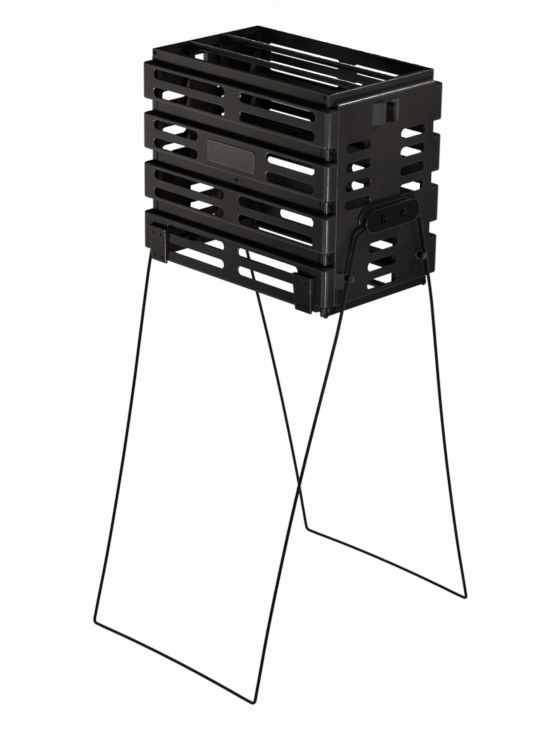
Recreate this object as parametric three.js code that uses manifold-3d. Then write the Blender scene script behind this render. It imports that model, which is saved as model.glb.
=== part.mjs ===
import * as THREE from 'three';
import { mergeVertices } from 'three/addons/utils/BufferGeometryUtils.js';
import Module from 'manifold-3d';

// A tennis ball hopper: a slotted plastic basket on two folding legs of bent wire.
// Millimetres, Z up. The origin is on the floor under the middle of the basket, X runs along
// the basket and Y from front to back. The basket's own pieces are measured down from its rim.

const wasm = await Module();
wasm.setup();

// Basket
const RIM_HEIGHT = 974;
const BASKET_LENGTH = 390;
const BASKET_WIDTH = 239;
const BASKET_DEPTH = 352;
const WALL = 3;
const SEAM = 0.3;
const OVERRUN = 4;
const MELD = 0.6;
const HALF_LENGTH = BASKET_LENGTH / 2;
const HALF_WIDTH = BASKET_WIDTH / 2;

// Raised bands of the front and back panels, as depths below the rim
const BAND_PROUD = 11;
const BAND_COUNT = 4;
const FIRST_BAND = 21.2;
const RECESS = 23;
const LAST_BAND_EXTRA = 14.1;
const LAST_BAND_RISE = 8.5;
const PROUD_RISE = 18.6;
const LAST_BAND_END = BASKET_DEPTH - LAST_BAND_RISE;
const PROUD_END = BASKET_DEPTH - PROUD_RISE;
const BANDS_LENGTH = LAST_BAND_END - FIRST_BAND - (BAND_COUNT - 1) * RECESS - LAST_BAND_EXTRA;
const BAND_HEIGHT = BANDS_LENGTH / BAND_COUNT;
const BAND_PITCH = BAND_HEIGHT + RECESS;
const BAND_EDGE = 4;
const BAND_CORNER = 7;
const RIM_CORNER = 4;
const RIM_EDGE = 1.2;
const PANEL_LIP = 1.5;
const RETURN = 10.5;
const GROOVE_INSET = 11.5;
const GROOVE_WIDTH = 2.4;
const GROOVE_DEPTH = 1.7;
const EDGE_STEPS = 2;
const CORNER_STEPS = 3;

// Flanges that turn inward at the mouth and at the bottom
const TOP_FLANGE = 9.5;
const BOTTOM_FLANGE = 12;
const FLANGE_GAP = 14;
const CORNER_NOTCH = 7.5;
const NOTCH_STEP = 1.2;

// Slots of the front and back panels
const SLOT_HEIGHT = 16;
const LAST_SLOT_HEIGHT = 14.5;
const UPPER_ROW_SHARE = 0.242475;
const LOWER_ROW_SHARE = 0.744147;
const LAST_ROWS_DROP = 2.5;
const SLOT_START = 16;
const BADGE_SLOT_START = 76;
const SLOT_END_GAP = 16.5;
const LAST_SLOT_END_GAP = 48;
const BADGE_BAND = 1;
const SLOT_STEPS = 5;
const BOSS_STEPS = 10;

// Screws
const SHANK = 1.5;
const SCREW_HEAD = 3.2;
const SCREW_HEAD_HEIGHT = 2.6;
const SCREW_REACH = 9;
const SMALL_SCREW_SHARE = 0.55;
const SCREW_SIDES = 6;
const HOLE_SIDES = 6;
const SOCKET_SIDES = 12;
const SCREW_ROOM = 0.45;
const CORNER_SCREW_INSET = 6.5;
const CORNER_SCREW_COUNT = 4;
const RIM_SCREW_INSET = 7.5;
const RIM_SCREW_DEPTH = 6.5;
const EAR = 5.2;
const EAR_RISE = 2.7;
const EAR_DEPTH = BASKET_DEPTH - EAR_RISE;
const SOCKET_WALL = 2.7;

// Corner posts inside the end panels
const POST_DEPTH = 7.6;
const POST_WIDTH = 10;
const POST_CHAMFER = 1.6;

// End panels
const END_EDGE = 5;
const END_RIDGE = 1.5;
const END_PROUD_START = 13.4;
const END_SLOT_START = 34;
const END_SLOT_MARGIN = 18.7;
const END_ROWS = 4;
const END_ROWS_ABOVE_PIVOT = 29.3;
const END_ROW_PITCH = 30;
const CENTRE_SLOT_REACH = 33.5;
const CENTRE_ROWS = 3;
const CENTRE_ROWS_RISE = 34.5;
const RIB_OFFSET = 35.2;
const RIB_THICKNESS = 2;
const RIB_HEIGHT = 9;
const LIP_DEPTH = 10;
const LIP_START = 75;

// Rods
const TOP_ROD = 5;
const TOP_ROD_SHARE = 0.324268;
const TOP_ROD_DROP = 0.5;
const BOTTOM_ROD = 6;
const BOTTOM_ROD_SHARE = 0.316318;
const BOTTOM_ROD_RISE = 3.2;
const TOP_ROD_OFFSET = HALF_WIDTH * TOP_ROD_SHARE;
const TOP_ROD_DEPTH = TOP_ROD + TOP_ROD_DROP;
const BOTTOM_ROD_OFFSET = HALF_WIDTH * BOTTOM_ROD_SHARE;
const BOTTOM_ROD_DEPTH = BASKET_DEPTH - BOTTOM_ROD - BOTTOM_ROD_RISE;
const CRADLE_WALL = 2.6;
const CRADLE_LENGTH = 8;
const CRADLE_MOUTH = 3;
const ROD_SIDES = 12;

// Pivot boss and plate
const PIVOT_DEPTH = 206.5;
const PIVOT_OFFSET = 34;
const BOSS_LENGTH = 122;
const BOSS_WIDTH = 37;
const BOSS_PROUD = 4;
const PLATE_THICKNESS = 3;
const PLATE_EDGE = 0.7;
const PLATE_SCREW_OFFSET = 21.7;
const PLATE_RECESS = 7;
const PLATE_RECESS_DEPTH = 1.8;
const PLATE_POST = 4.5;
const PLATE_SCREW_REACH = 22;
const PLATE_SCREW_HEAD_HEIGHT = 1.3;

// Legs
const WIRE = 2.75;
const WIRE_SIDES = 8;
const PIN_DEPTH = 11.5;
const SHOULDER_MARGIN = 33.2;
const SHOULDER_DROP = 19.5;
const FOOT_OFFSET = 262.6;
const FOOT_INSET = 0.9;
const CROSSBAR_RISE = 5;
const SHOULDER_BEND = 12;
const FOOT_BEND = 14;
const BEND_STEPS = 4;
const CROSSBAR_STEPS = 6;
const BOW_STEPS = 10;
const BOW_SHARES = [
  [0, 0], [0.169, 0.03], [0.25, 0.175], [0.341, 0.403], [0.466, 0.708], [0.593, 0.927],
  [0.679, 1.018], [0.767, 1.077], [0.855, 1.091], [0.947, 1.027], [1, 1],
];

// Catch for the raised legs
const CATCH_START = 33;
const CATCH_TOP_START = 18;
const CATCH_END = 12.5;
const CATCH_PROUD = 8;
const CATCH_DEPTH = 26.5;
const CATCH_LENGTH = 34;
const WINDOW_END = 16;
const WINDOW_DEPTH = 30;
const WINDOW_LENGTH = 31.6;
const HOOK_PROUD = 3.4;
const HOOK_WIDTH = 6;
const HOOK_ARM = 12;

// Ramp and stop pegs for the lowered legs
const RAMP_START = 13.47;
const RAMP_TOP_START = 5.27;
const RAMP_END = 3.27;
const RAMP_ROOM = 1.1;
const RAMP_RISE = 46;
const RAMP_LENGTH = 26;
const PEG_GAP = 0.447;
const PEG_RISE = 60;
const PEG_RADIUS = 5.6;
const PEG_FLANGE = 8.2;
const PEG_FLANGE_HEIGHT = 2.4;
const PEG_PAST_WIRE = 0.65;
const PEG_DOME = 1.4;
const PEG_SHANK = 3;
const PEG_SHANK_LENGTH = 6.5;
const PEG_SIDES = 10;

// Badge plate and brackets on the front
const BADGE_LENGTH = 104;
const BADGE_HEIGHT = 34;
const BADGE_THICKNESS = 1;
const BADGE_CORNER = 3;
const BADGE_CORNER_STEPS = 2;
const BRACKET_INSET = 31.5;
const BRACKET_WIDTH = 41;
const BRACKET_FOOT_WIDTH = 34;
const BRACKET_HEIGHT = 59.5;
const BRACKET_RISE = 5.5;
const BRACKET_PROUD = 8;
const BRACKET_FOOT_PROUD = 3.4;
const BRACKET_BACK = 1.6;
const BRACKET_SKIN = 2;
const BRACKET_POCKET = 30;
const BRACKET_HOLE = 2.1;
const BRACKET_HOLE_SPREAD = 8.6;
const BRACKET_UPPER_HOLE = 11;
const BRACKET_LOWER_HOLE = 50;
const BRACKET_MIDDLE = HALF_LENGTH - BRACKET_INSET;
const BRACKET_TOP = BASKET_DEPTH - BRACKET_RISE - BRACKET_HEIGHT;

// Materials, one colour and finish for each kind of surface
function plastic(color, roughness = 0.55) {
  return new THREE.MeshStandardMaterial({ color, roughness, metalness: 0 });
}

function steel(color, roughness = 0.35) {
  return new THREE.MeshStandardMaterial({ color, roughness, metalness: 0.4 });
}

const SHELL = 0x2f2d2b;
const BADGE = 0x4a4846;
const PLATE = 0x141213;
const PEG = 0x1c1a1a;
const WIRE_COAT = 0x1d1c1b;
const ROD_COAT = 0x151515;
const SCREW = 0x222222;

// Closed bodies as manifolds, for cuts and joins
function solid(geometry) {
  geometry.deleteAttribute('normal');
  geometry.deleteAttribute('uv');
  const merged = mergeVertices(geometry);
  return new wasm.Manifold(new wasm.Mesh({
    numProp: 3,
    vertProperties: merged.attributes.position.array,
    triVerts: Uint32Array.from(merged.index.array),
  }));
}

function geometryOf(manifold) {
  const mesh = manifold.getMesh();
  const geometry = new THREE.BufferGeometry();
  geometry.setAttribute('position', new THREE.BufferAttribute(mesh.vertProperties, 3));
  geometry.setIndex(new THREE.BufferAttribute(mesh.triVerts, 1));
  geometry.computeVertexNormals();
  return geometry;
}

function joined(bodies) {
  return bodies.reduce((sum, body) => sum.add(body));
}

function cut(body, tools) {
  return body.subtract(joined(tools));
}

// A box between two values on each axis
function box(x, y, z) {
  const geometry = new THREE.BoxGeometry(x[1] - x[0], y[1] - y[0], z[1] - z[0]);
  geometry.translate((x[0] + x[1]) / 2, (y[0] + y[1]) / 2, (z[0] + z[1]) / 2);
  return solid(geometry);
}

// Outlines drawn across and up, pushed along one axis
function alongX(shape, x, y, z) {
  const options = { depth: x[1] - x[0], bevelEnabled: false };
  const geometry = new THREE.ExtrudeGeometry(shape, options);
  geometry.rotateX(Math.PI / 2);
  geometry.rotateZ(Math.PI / 2);
  geometry.translate(x[0], y, z);
  return solid(geometry);
}

function alongY(shape, y, x, z) {
  const depth = y[1] - y[0];
  const options = { depth, bevelEnabled: false, curveSegments: BADGE_CORNER_STEPS };
  const geometry = new THREE.ExtrudeGeometry(shape, options);
  geometry.rotateX(Math.PI / 2);
  geometry.translate(x, y[1], z);
  return solid(geometry);
}

function alongZ(shape, z) {
  const options = { depth: z[1] - z[0], bevelEnabled: false };
  const geometry = new THREE.ExtrudeGeometry(shape, options);
  geometry.translate(0, 0, z[0]);
  return solid(geometry);
}

function outline(points) {
  return new THREE.Shape(points.map(([across, up]) => new THREE.Vector2(across, up)));
}

function stadium(length, height, steps = SLOT_STEPS) {
  const reach = (length - height) / 2;
  const end = (side) => Array.from({ length: steps + 1 }, (_, i) => {
    const turn = (i / steps - 1 / 2) * Math.PI;
    return [side * (reach + (height / 2) * Math.cos(turn)), side * (height / 2) * Math.sin(turn)];
  });
  return outline([...end(1), ...end(-1)]);
}

function roundRodX(radius, x, y, z, sides = HOLE_SIDES) {
  const geometry = new THREE.CylinderGeometry(radius, radius, x[1] - x[0], sides);
  geometry.rotateZ(Math.PI / 2);
  geometry.translate((x[0] + x[1]) / 2, y, z);
  return solid(geometry);
}

function roundRodY(radius, y, x, z, sides = HOLE_SIDES) {
  const geometry = new THREE.CylinderGeometry(radius, radius, y[1] - y[0], sides);
  geometry.translate(x, (y[0] + y[1]) / 2, z);
  return solid(geometry);
}

// A body through rings that all have the same number of points, closed by flat caps
function loft(rings, capOutline) {
  const count = rings[0].length;
  const last = (rings.length - 1) * count;
  const index = [];
  for (let ring = 0; ring < rings.length - 1; ring += 1) {
    for (let i = 0; i < count; i += 1) {
      const a = ring * count + i;
      const b = ring * count + ((i + 1) % count);
      index.push(a, b, b + count, a, b + count, a + count);
    }
  }
  for (const [a, b, c] of capFaces(capOutline)) {
    index.push(c, b, a);
    index.push(last + a, last + b, last + c);
  }
  const positions = rings.flat().flatMap((point) => point.toArray());
  return facedOut(positions, index);
}

function capFaces(points) {
  const turn = Math.sign(THREE.ShapeUtils.area(points));
  return THREE.ShapeUtils.triangulateShape(points, []).map(([a, b, c]) => {
    const way = Math.sign(THREE.ShapeUtils.area([points[a], points[b], points[c]]));
    return way === turn ? [a, b, c] : [a, c, b];
  });
}

// Turns all faces round when the body's signed volume shows that they look inward
function facedOut(positions, index) {
  const corner = (i) => new THREE.Vector3().fromArray(positions, index[i] * 3);
  let volume = 0;
  for (let i = 0; i < index.length; i += 3) {
    volume += corner(i).dot(corner(i + 1).cross(corner(i + 2)));
  }
  const geometry = new THREE.BufferGeometry();
  geometry.setAttribute('position', new THREE.Float32BufferAttribute(positions, 3));
  geometry.setIndex(volume < 0 ? [...index].reverse() : index);
  geometry.computeVertexNormals();
  return geometry;
}

// Front and back panel: one corrugated wall profile, swept round the two corners.
// A profile point has the offset of its face from the rim, its inset behind that face,
// and its depth below the rim.
function edgeArc(start, end) {
  const steps = Array.from({ length: EDGE_STEPS + 1 }, (_, i) => (i / EDGE_STEPS) * (Math.PI / 2));
  const upper = steps.map((turn) => [
    BAND_PROUD, BAND_EDGE * (1 - Math.sin(turn)), start + BAND_EDGE * (1 - Math.cos(turn)),
  ]);
  const lower = steps.map((turn) => [
    BAND_PROUD, BAND_EDGE * (1 - Math.cos(turn)), end - BAND_EDGE * (1 - Math.sin(turn)),
  ]);
  return [...upper, ...lower];
}

function bandDepths(lastEnd) {
  return Array.from({ length: BAND_COUNT }, (_, band) => {
    const start = FIRST_BAND + band * BAND_PITCH;
    return [start, band === BAND_COUNT - 1 ? lastEnd : start + BAND_HEIGHT];
  });
}

function wallProfile({ lastEnd, lowest }) {
  const bands = bandDepths(lastEnd);
  const outside = bands.flatMap(([start, end]) => [
    [0, 0, start], ...edgeArc(start, end), [0, 0, end],
  ]);
  const inside = bands.flatMap(([start, end]) => [
    [0, WALL, start + WALL], [BAND_PROUD, WALL, start + WALL],
    [BAND_PROUD, WALL, end - WALL], [0, WALL, end - WALL],
  ]);
  return [
    [0, RIM_EDGE, 0], [0, 0, RIM_EDGE], ...outside, [0, 0, lowest], [0, WALL, lowest],
    ...inside.reverse(), [0, WALL, 0],
  ];
}

const PANEL_END = LAST_BAND_END + PANEL_LIP;
const AT_CORNER = { lastEnd: PROUD_END, lowest: BASKET_DEPTH };
const ALONG_FRONT = { lastEnd: LAST_BAND_END, lowest: PANEL_END };

function cornerStation(turn) {
  const place = (offset, inset) => {
    const radius = offset > 0 ? BAND_CORNER : RIM_CORNER;
    return [
      HALF_LENGTH + offset - radius + (radius - inset) * Math.cos(turn),
      HALF_WIDTH + offset - radius + (radius - inset) * Math.sin(turn),
    ];
  };
  return { place, section: AT_CORNER };
}

function straightStation(fromEnd, section) {
  const place = (offset, inset) => [HALF_LENGTH - fromEnd, HALF_WIDTH + offset - inset];
  return { place, section };
}

function panelStations() {
  const returnEnd = {
    place: (offset, inset) => [HALF_LENGTH + offset - inset, HALF_WIDTH - RETURN],
    section: AT_CORNER,
  };
  const corner = Array.from({ length: CORNER_STEPS + 1 },
    (_, i) => cornerStation((i / CORNER_STEPS) * (Math.PI / 2)));
  return [
    returnEnd, ...corner,
    straightStation(CORNER_NOTCH, AT_CORNER),
    straightStation(CORNER_NOTCH + NOTCH_STEP, ALONG_FRONT),
  ];
}

function panelShell() {
  const half = panelStations().map(({ place, section }) => (
    wallProfile(section).map(([offset, inset, depth]) => {
      const [x, y] = place(offset, inset);
      return new THREE.Vector3(x, -y, -depth);
    })
  ));
  const mirrored = half.map((ring) => ring.map(({ x, y, z }) => new THREE.Vector3(-x, y, z)));
  const cap = wallProfile(AT_CORNER).map(([offset, inset, depth]) => (
    new THREE.Vector2(offset - inset, -depth)
  ));
  return solid(loft([...half, ...mirrored.reverse()], cap));
}

function panelSlots() {
  const slots = [];
  const through = [-HALF_WIDTH - BAND_PROUD - OVERRUN, -HALF_WIDTH + WALL + OVERRUN];
  for (let band = 0; band < BAND_COUNT; band += 1) {
    const last = band === BAND_COUNT - 1;
    const start = band === BADGE_BAND ? BADGE_SLOT_START : SLOT_START;
    const end = HALF_LENGTH - (last ? LAST_SLOT_END_GAP : SLOT_END_GAP);
    const shape = stadium(end - start, last ? LAST_SLOT_HEIGHT : SLOT_HEIGHT);
    for (const share of [UPPER_ROW_SHARE, LOWER_ROW_SHARE]) {
      const row = share * BAND_HEIGHT + (last ? LAST_ROWS_DROP : 0);
      const depth = FIRST_BAND + band * BAND_PITCH + row;
      slots.push(alongY(shape, through, (start + end) / 2, -depth));
      slots.push(alongY(shape, through, -(start + end) / 2, -depth));
    }
  }
  return slots;
}

// Corner screws lie in the middle of the recesses between the bands, the last one in the ear
function cornerScrewDepths() {
  return Array.from({ length: CORNER_SCREW_COUNT }, (_, i) => (
    i === CORNER_SCREW_COUNT - 1 ? EAR_DEPTH : FIRST_BAND + (i + 1) * BAND_PITCH - RECESS / 2
  ));
}

const CORNER_SCREW_Y = HALF_WIDTH - CORNER_SCREW_INSET;
const RIM_SCREW_X = HALF_LENGTH - RIM_SCREW_INSET;
const MIDDLE_SCREW_DEPTH = FIRST_BAND + 2 * BAND_PITCH - RECESS / 2;
const HOLE = SHANK + SCREW_ROOM;
const SMALL_HOLE = SHANK * SMALL_SCREW_SHARE + SCREW_ROOM;

// A groove in each recess sets the corner off from the wall between the bands
function cornerGrooves(side) {
  const x = [HALF_LENGTH - GROOVE_INSET - GROOVE_WIDTH, HALF_LENGTH - GROOVE_INSET];
  const acrossX = x.map((value) => side * value).sort((a, b) => a - b);
  return Array.from({ length: BAND_COUNT - 1 }, (_, i) => {
    const bottom = FIRST_BAND + (i + 1) * BAND_PITCH;
    return box(acrossX, [-HALF_WIDTH - OVERRUN, -HALF_WIDTH + GROOVE_DEPTH],
      [-bottom + SEAM, -bottom + RECESS - SEAM]);
  });
}

function panel(bracketHoles) {
  const wallX = [HALF_LENGTH - WALL, HALF_LENGTH];
  const throughX = [HALF_LENGTH - WALL - OVERRUN, HALF_LENGTH + OVERRUN];
  const throughY = [-HALF_WIDTH - OVERRUN, -HALF_WIDTH + WALL + OVERRUN];
  const socketEnd = -HALF_WIDTH + SCREW_REACH + SEAM;
  const flangeX = [FLANGE_GAP - HALF_LENGTH, HALF_LENGTH - FLANGE_GAP];
  const added = [
    panelShell(),
    box(flangeX, [RIM_EDGE - HALF_WIDTH, TOP_FLANGE - HALF_WIDTH], [-WALL, 0]),
    box(flangeX, [-HALF_WIDTH, BOTTOM_FLANGE - HALF_WIDTH], [-PANEL_END, WALL - PANEL_END]),
  ];
  const cuts = panelSlots();
  for (const side of [-1, 1]) {
    const earX = wallX.map((x) => side * x).sort((a, b) => a - b);
    const holeX = throughX.map((x) => side * x).sort((a, b) => a - b);
    added.push(roundRodX(EAR, earX, -CORNER_SCREW_Y, -EAR_DEPTH, SOCKET_SIDES));
    cuts.push(...cornerGrooves(side));
    for (const depth of cornerScrewDepths()) {
      cuts.push(roundRodX(HOLE, holeX, -CORNER_SCREW_Y, -depth));
    }
    cuts.push(roundRodY(HOLE, throughY, side * RIM_SCREW_X, -RIM_SCREW_DEPTH));
  }
  added.push(roundRodY(HOLE + SOCKET_WALL, [-HALF_WIDTH + WALL - MELD, socketEnd + WALL], 0,
    -MIDDLE_SCREW_DEPTH, SOCKET_SIDES));
  cuts.push(roundRodY(HOLE, [-HALF_WIDTH - OVERRUN, socketEnd], 0, -MIDDLE_SCREW_DEPTH));
  for (const [x, depth] of bracketHoles) {
    const y = -HALF_WIDTH - BAND_PROUD;
    cuts.push(roundRodY(SMALL_HOLE, [y - OVERRUN, y + WALL + OVERRUN], x, -depth));
  }
  return geometryOf(cut(joined(added), cuts));
}

function bracketScrewPlaces() {
  return [-1, 1].flatMap((side) => [BRACKET_UPPER_HOLE, BRACKET_LOWER_HOLE].flatMap((drop) => (
    [-1, 1].map((way) => [
      side * BRACKET_MIDDLE + way * BRACKET_HOLE_SPREAD, BRACKET_TOP + drop,
    ])
  )));
}

// End panel, drawn for the right end. Its face stands proud by as much as the bands.
const FACE = HALF_LENGTH + BAND_PROUD;
const END_HALF = HALF_WIDTH - RETURN - SEAM;
const INNER_FACE = HALF_LENGTH - WALL;
const POST_FACE = INNER_FACE - SEAM;
const END_SLOT_END = END_HALF - END_SLOT_MARGIN;
const END_FIRST_ROW = PIVOT_DEPTH - END_ROWS_ABOVE_PIVOT - (END_ROWS - 1) * END_ROW_PITCH;
const CENTRE_FIRST_ROW = BASKET_DEPTH - CENTRE_ROWS_RISE - (CENTRE_ROWS - 1) * END_ROW_PITCH;

// The two wires at an end pass each other between the boss and the plate, one outside the other
const INNER_WIRE_X = FACE + BOSS_PROUD + SEAM + WIRE;
const OUTER_WIRE_X = INNER_WIRE_X + 2 * WIRE + SEAM;
const PLATE_X = OUTER_WIRE_X + WIRE + SEAM;
const LEG_SHIFT = (OUTER_WIRE_X - INNER_WIRE_X) / 2;
const PIN_BEND = INNER_WIRE_X - FACE - BOSS_PROUD;
const PIN_BORE_END = FACE + BOSS_PROUD - PIN_DEPTH - LEG_SHIFT - SEAM;

// Between shoulder and foot a leg runs straight, seen from the end. The pegs stand beside it
// there, and the ramp is measured out from its line.
const SHOULDER_OFFSET = END_HALF - SHOULDER_MARGIN;
const SHOULDER_DEPTH = PIVOT_DEPTH + SHOULDER_DROP;
const LEG_SLOPE = (FOOT_OFFSET - SHOULDER_OFFSET) / (RIM_HEIGHT - WIRE - SHOULDER_DEPTH);
const PEG_DEPTH = BASKET_DEPTH - PEG_RISE;
const PEG_ROOM = (PEG_RADIUS + WIRE + PEG_GAP) * Math.hypot(1, LEG_SLOPE);
const PEG_OFFSET = legOffset(PEG_DEPTH) - PEG_ROOM;
const PEG_LENGTH = OUTER_WIRE_X - FACE + PEG_PAST_WIRE;
const RAMP_DEPTH = BASKET_DEPTH - RAMP_RISE - RAMP_LENGTH;
const RAMP_LINE = legOffset(RAMP_DEPTH + RAMP_LENGTH / 2);
const RAMP_PROUD = OUTER_WIRE_X - WIRE - FACE - RAMP_ROOM;

function legOffset(depth) {
  return SHOULDER_OFFSET + LEG_SLOPE * (depth - SHOULDER_DEPTH);
}

function endProfile() {
  const back = FACE - WALL;
  const arc = Array.from({ length: EDGE_STEPS + 2 }, (_, i) => {
    const turn = (i / (EDGE_STEPS + 1)) * (Math.PI / 2);
    return [
      FACE - END_EDGE * (1 - Math.sin(turn)),
      -END_PROUD_START - END_EDGE * (1 - Math.cos(turn)),
    ];
  });
  return outline([
    [INNER_FACE, 0], [HALF_LENGTH - RIM_EDGE, 0], [HALF_LENGTH, -RIM_EDGE],
    [HALF_LENGTH, -END_PROUD_START], ...arc, [FACE, -PROUD_END + END_RIDGE],
    [FACE - END_RIDGE, -PROUD_END], [HALF_LENGTH, -PROUD_END], [HALF_LENGTH, -BASKET_DEPTH],
    [INNER_FACE, -BASKET_DEPTH], [INNER_FACE, -PROUD_END + WALL], [back, -PROUD_END + WALL],
    [back, -END_PROUD_START - WALL], [INNER_FACE, -END_PROUD_START - WALL],
  ]);
}

function cornerPost(side) {
  const inner = POST_FACE - POST_DEPTH;
  const outer = HALF_WIDTH - WALL - SEAM;
  const points = [
    [inner, outer - POST_WIDTH], [POST_FACE, outer - POST_WIDTH],
    [POST_FACE, outer - POST_CHAMFER], [POST_FACE - POST_CHAMFER, outer], [inner, outer],
  ];
  const shape = outline(points.map(([x, y]) => [x, side * y]));
  return alongZ(shape, [-BASKET_DEPTH + SEAM, -WALL - SEAM]);
}

function spanY(side, near, far) {
  return side > 0 ? [near, far] : [-far, -near];
}

// Walls that close the sides of the face, posts, flange with its lip, ribs and rod cradles
function endSide(side) {
  const inner = POST_FACE - POST_DEPTH;
  const wallY = spanY(side, END_HALF - WALL, END_HALF);
  const flangeX = [HALF_LENGTH - TOP_FLANGE, INNER_FACE + MELD];
  const rib = spanY(side, RIB_OFFSET - RIB_THICKNESS / 2, RIB_OFFSET + RIB_THICKNESS / 2);
  const cradleX = [INNER_FACE - CRADLE_LENGTH, INNER_FACE + MELD];
  return [
    box([inner, INNER_FACE + MELD], wallY, [-BASKET_DEPTH + SEAM, -MELD]),
    box([INNER_FACE, FACE - WALL + MELD], wallY,
      [-PROUD_END + WALL - MELD, -END_PROUD_START - WALL + MELD]),
    cornerPost(side),
    box(flangeX, spanY(side, TOP_ROD_OFFSET, END_HALF), [-WALL, 0]),
    box([flangeX[0], flangeX[0] + RIB_THICKNESS], spanY(side, LIP_START, END_HALF - WALL + MELD),
      [-LIP_DEPTH, 0]),
    box([FACE - WALL - RIB_HEIGHT, FACE - WALL + MELD], rib,
      [-PROUD_END + WALL - MELD, -END_PROUD_START - WALL + MELD]),
    roundRodX(TOP_ROD + CRADLE_WALL, cradleX, side * TOP_ROD_OFFSET, -TOP_ROD_DEPTH,
      SOCKET_SIDES),
    roundRodX(BOTTOM_ROD + CRADLE_WALL, cradleX, side * BOTTOM_ROD_OFFSET, -BOTTOM_ROD_DEPTH,
      SOCKET_SIDES),
  ];
}

function sockets(side) {
  const behind = FACE - WALL + MELD;
  const pinRoom = WIRE + SEAM;
  return [
    roundRodX(pinRoom + SOCKET_WALL, [PIN_BORE_END - WALL, behind],
      side * PIVOT_OFFSET, -PIVOT_DEPTH, SOCKET_SIDES),
    roundRodX(HOLE + SOCKET_WALL, [FACE - SCREW_REACH - SEAM, behind],
      side * PLATE_SCREW_OFFSET, -PIVOT_DEPTH, SOCKET_SIDES),
    roundRodX(PEG_SHANK + SEAM + SOCKET_WALL, [FACE - PEG_SHANK_LENGTH, behind],
      side * PEG_OFFSET, -PEG_DEPTH, SOCKET_SIDES),
  ];
}

function socketBores(side) {
  const out = FACE + BOSS_PROUD + OVERRUN;
  const cornerBoreX = [POST_FACE - POST_DEPTH - OVERRUN, POST_FACE + OVERRUN];
  const rimBoreY = spanY(side, END_HALF - WALL - OVERRUN, HALF_WIDTH);
  return [
    roundRodX(WIRE + SEAM, [PIN_BORE_END, out], side * PIVOT_OFFSET, -PIVOT_DEPTH,
      SOCKET_SIDES),
    roundRodX(HOLE, [FACE - SCREW_REACH - OVERRUN, out], side * PLATE_SCREW_OFFSET, -PIVOT_DEPTH),
    roundRodX(PEG_SHANK + SEAM, [FACE - PEG_SHANK_LENGTH - OVERRUN, out],
      side * PEG_OFFSET, -PEG_DEPTH, SOCKET_SIDES),
    ...cornerScrewDepths().map((depth) => (
      roundRodX(HOLE, cornerBoreX, side * CORNER_SCREW_Y, -depth)
    )),
    roundRodY(HOLE, rimBoreY, RIM_SCREW_X, -RIM_SCREW_DEPTH),
    roundRodX(EAR + SEAM, [POST_FACE, HALF_LENGTH + OVERRUN], side * CORNER_SCREW_Y, -EAR_DEPTH,
      SOCKET_SIDES),
  ];
}

function rodBores(side) {
  const boreX = [INNER_FACE - CRADLE_LENGTH - OVERRUN, INNER_FACE];
  const mouthY = side * TOP_ROD_OFFSET;
  return [
    roundRodX(TOP_ROD + SEAM, boreX, side * TOP_ROD_OFFSET, -TOP_ROD_DEPTH, ROD_SIDES),
    roundRodX(BOTTOM_ROD + SEAM, boreX, side * BOTTOM_ROD_OFFSET, -BOTTOM_ROD_DEPTH, ROD_SIDES),
    box(boreX, [mouthY - CRADLE_MOUTH, mouthY + CRADLE_MOUTH], [-TOP_ROD_DEPTH, OVERRUN]),
    box([boreX[0], HALF_LENGTH + OVERRUN], spanY(side, 0, HALF_WIDTH), [0, 2 * OVERRUN]),
  ];
}

function endSlots() {
  const throughX = [INNER_FACE - OVERRUN, FACE + OVERRUN];
  const slots = [];
  for (let row = 0; row < END_ROWS; row += 1) {
    const depth = END_FIRST_ROW + row * END_ROW_PITCH;
    const shape = stadium(END_SLOT_END - END_SLOT_START, SLOT_HEIGHT);
    for (const side of [-1, 1]) {
      slots.push(alongX(shape, throughX, side * (END_SLOT_START + END_SLOT_END) / 2, -depth));
    }
  }
  for (let row = 0; row < CENTRE_ROWS; row += 1) {
    const depth = CENTRE_FIRST_ROW + row * END_ROW_PITCH;
    slots.push(alongX(stadium(2 * CENTRE_SLOT_REACH, SLOT_HEIGHT), throughX, 0, -depth));
  }
  return slots;
}

// Wedge and hook beside the window that takes the raised legs, and ramp for the lowered leg
function catchForms() {
  const seat = FACE - MELD;
  const wedge = outline([
    [seat, -CATCH_START], [FACE, -CATCH_START], [FACE + CATCH_PROUD, -CATCH_TOP_START],
    [FACE + CATCH_PROUD, -CATCH_END], [seat, -CATCH_END],
  ]);
  const ramp = outline([
    [seat, -RAMP_LINE - RAMP_START], [FACE, -RAMP_LINE - RAMP_START],
    [FACE + RAMP_PROUD, -RAMP_LINE - RAMP_TOP_START],
    [FACE + RAMP_PROUD, -RAMP_LINE - RAMP_END], [seat, -RAMP_LINE - RAMP_END],
  ]);
  const hookX = [seat, FACE + HOOK_PROUD];
  return [
    alongZ(wedge, [-CATCH_DEPTH - CATCH_LENGTH, -CATCH_DEPTH]),
    alongZ(ramp, [-RAMP_DEPTH - RAMP_LENGTH, -RAMP_DEPTH]),
    box(hookX, [WINDOW_END, WINDOW_END + HOOK_WIDTH],
      [-CATCH_DEPTH - CATCH_LENGTH, -CATCH_DEPTH]),
    box(hookX, [WINDOW_END - HOOK_ARM, WINDOW_END + MELD], [-WINDOW_DEPTH, -CATCH_DEPTH]),
  ];
}

function endPanel() {
  const face = alongY(endProfile(), [-END_HALF, END_HALF], 0, 0);
  const window = box([INNER_FACE - OVERRUN, FACE + OVERRUN], [-CATCH_END, WINDOW_END],
    [-WINDOW_DEPTH - WINDOW_LENGTH, -WINDOW_DEPTH]);
  const slotted = cut(face, [...endSlots(), window]);
  const boss = alongX(stadium(BOSS_LENGTH, BOSS_WIDTH, BOSS_STEPS),
    [FACE - MELD, FACE + BOSS_PROUD], 0, -PIVOT_DEPTH);
  const sides = [-1, 1].flatMap((side) => [...endSide(side), ...sockets(side)]);
  const whole = joined([slotted, boss, ...catchForms(), ...sides]);
  return geometryOf(cut(whole, [-1, 1].flatMap((side) => (
    [...socketBores(side), ...rodBores(side)]
  ))));
}

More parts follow.
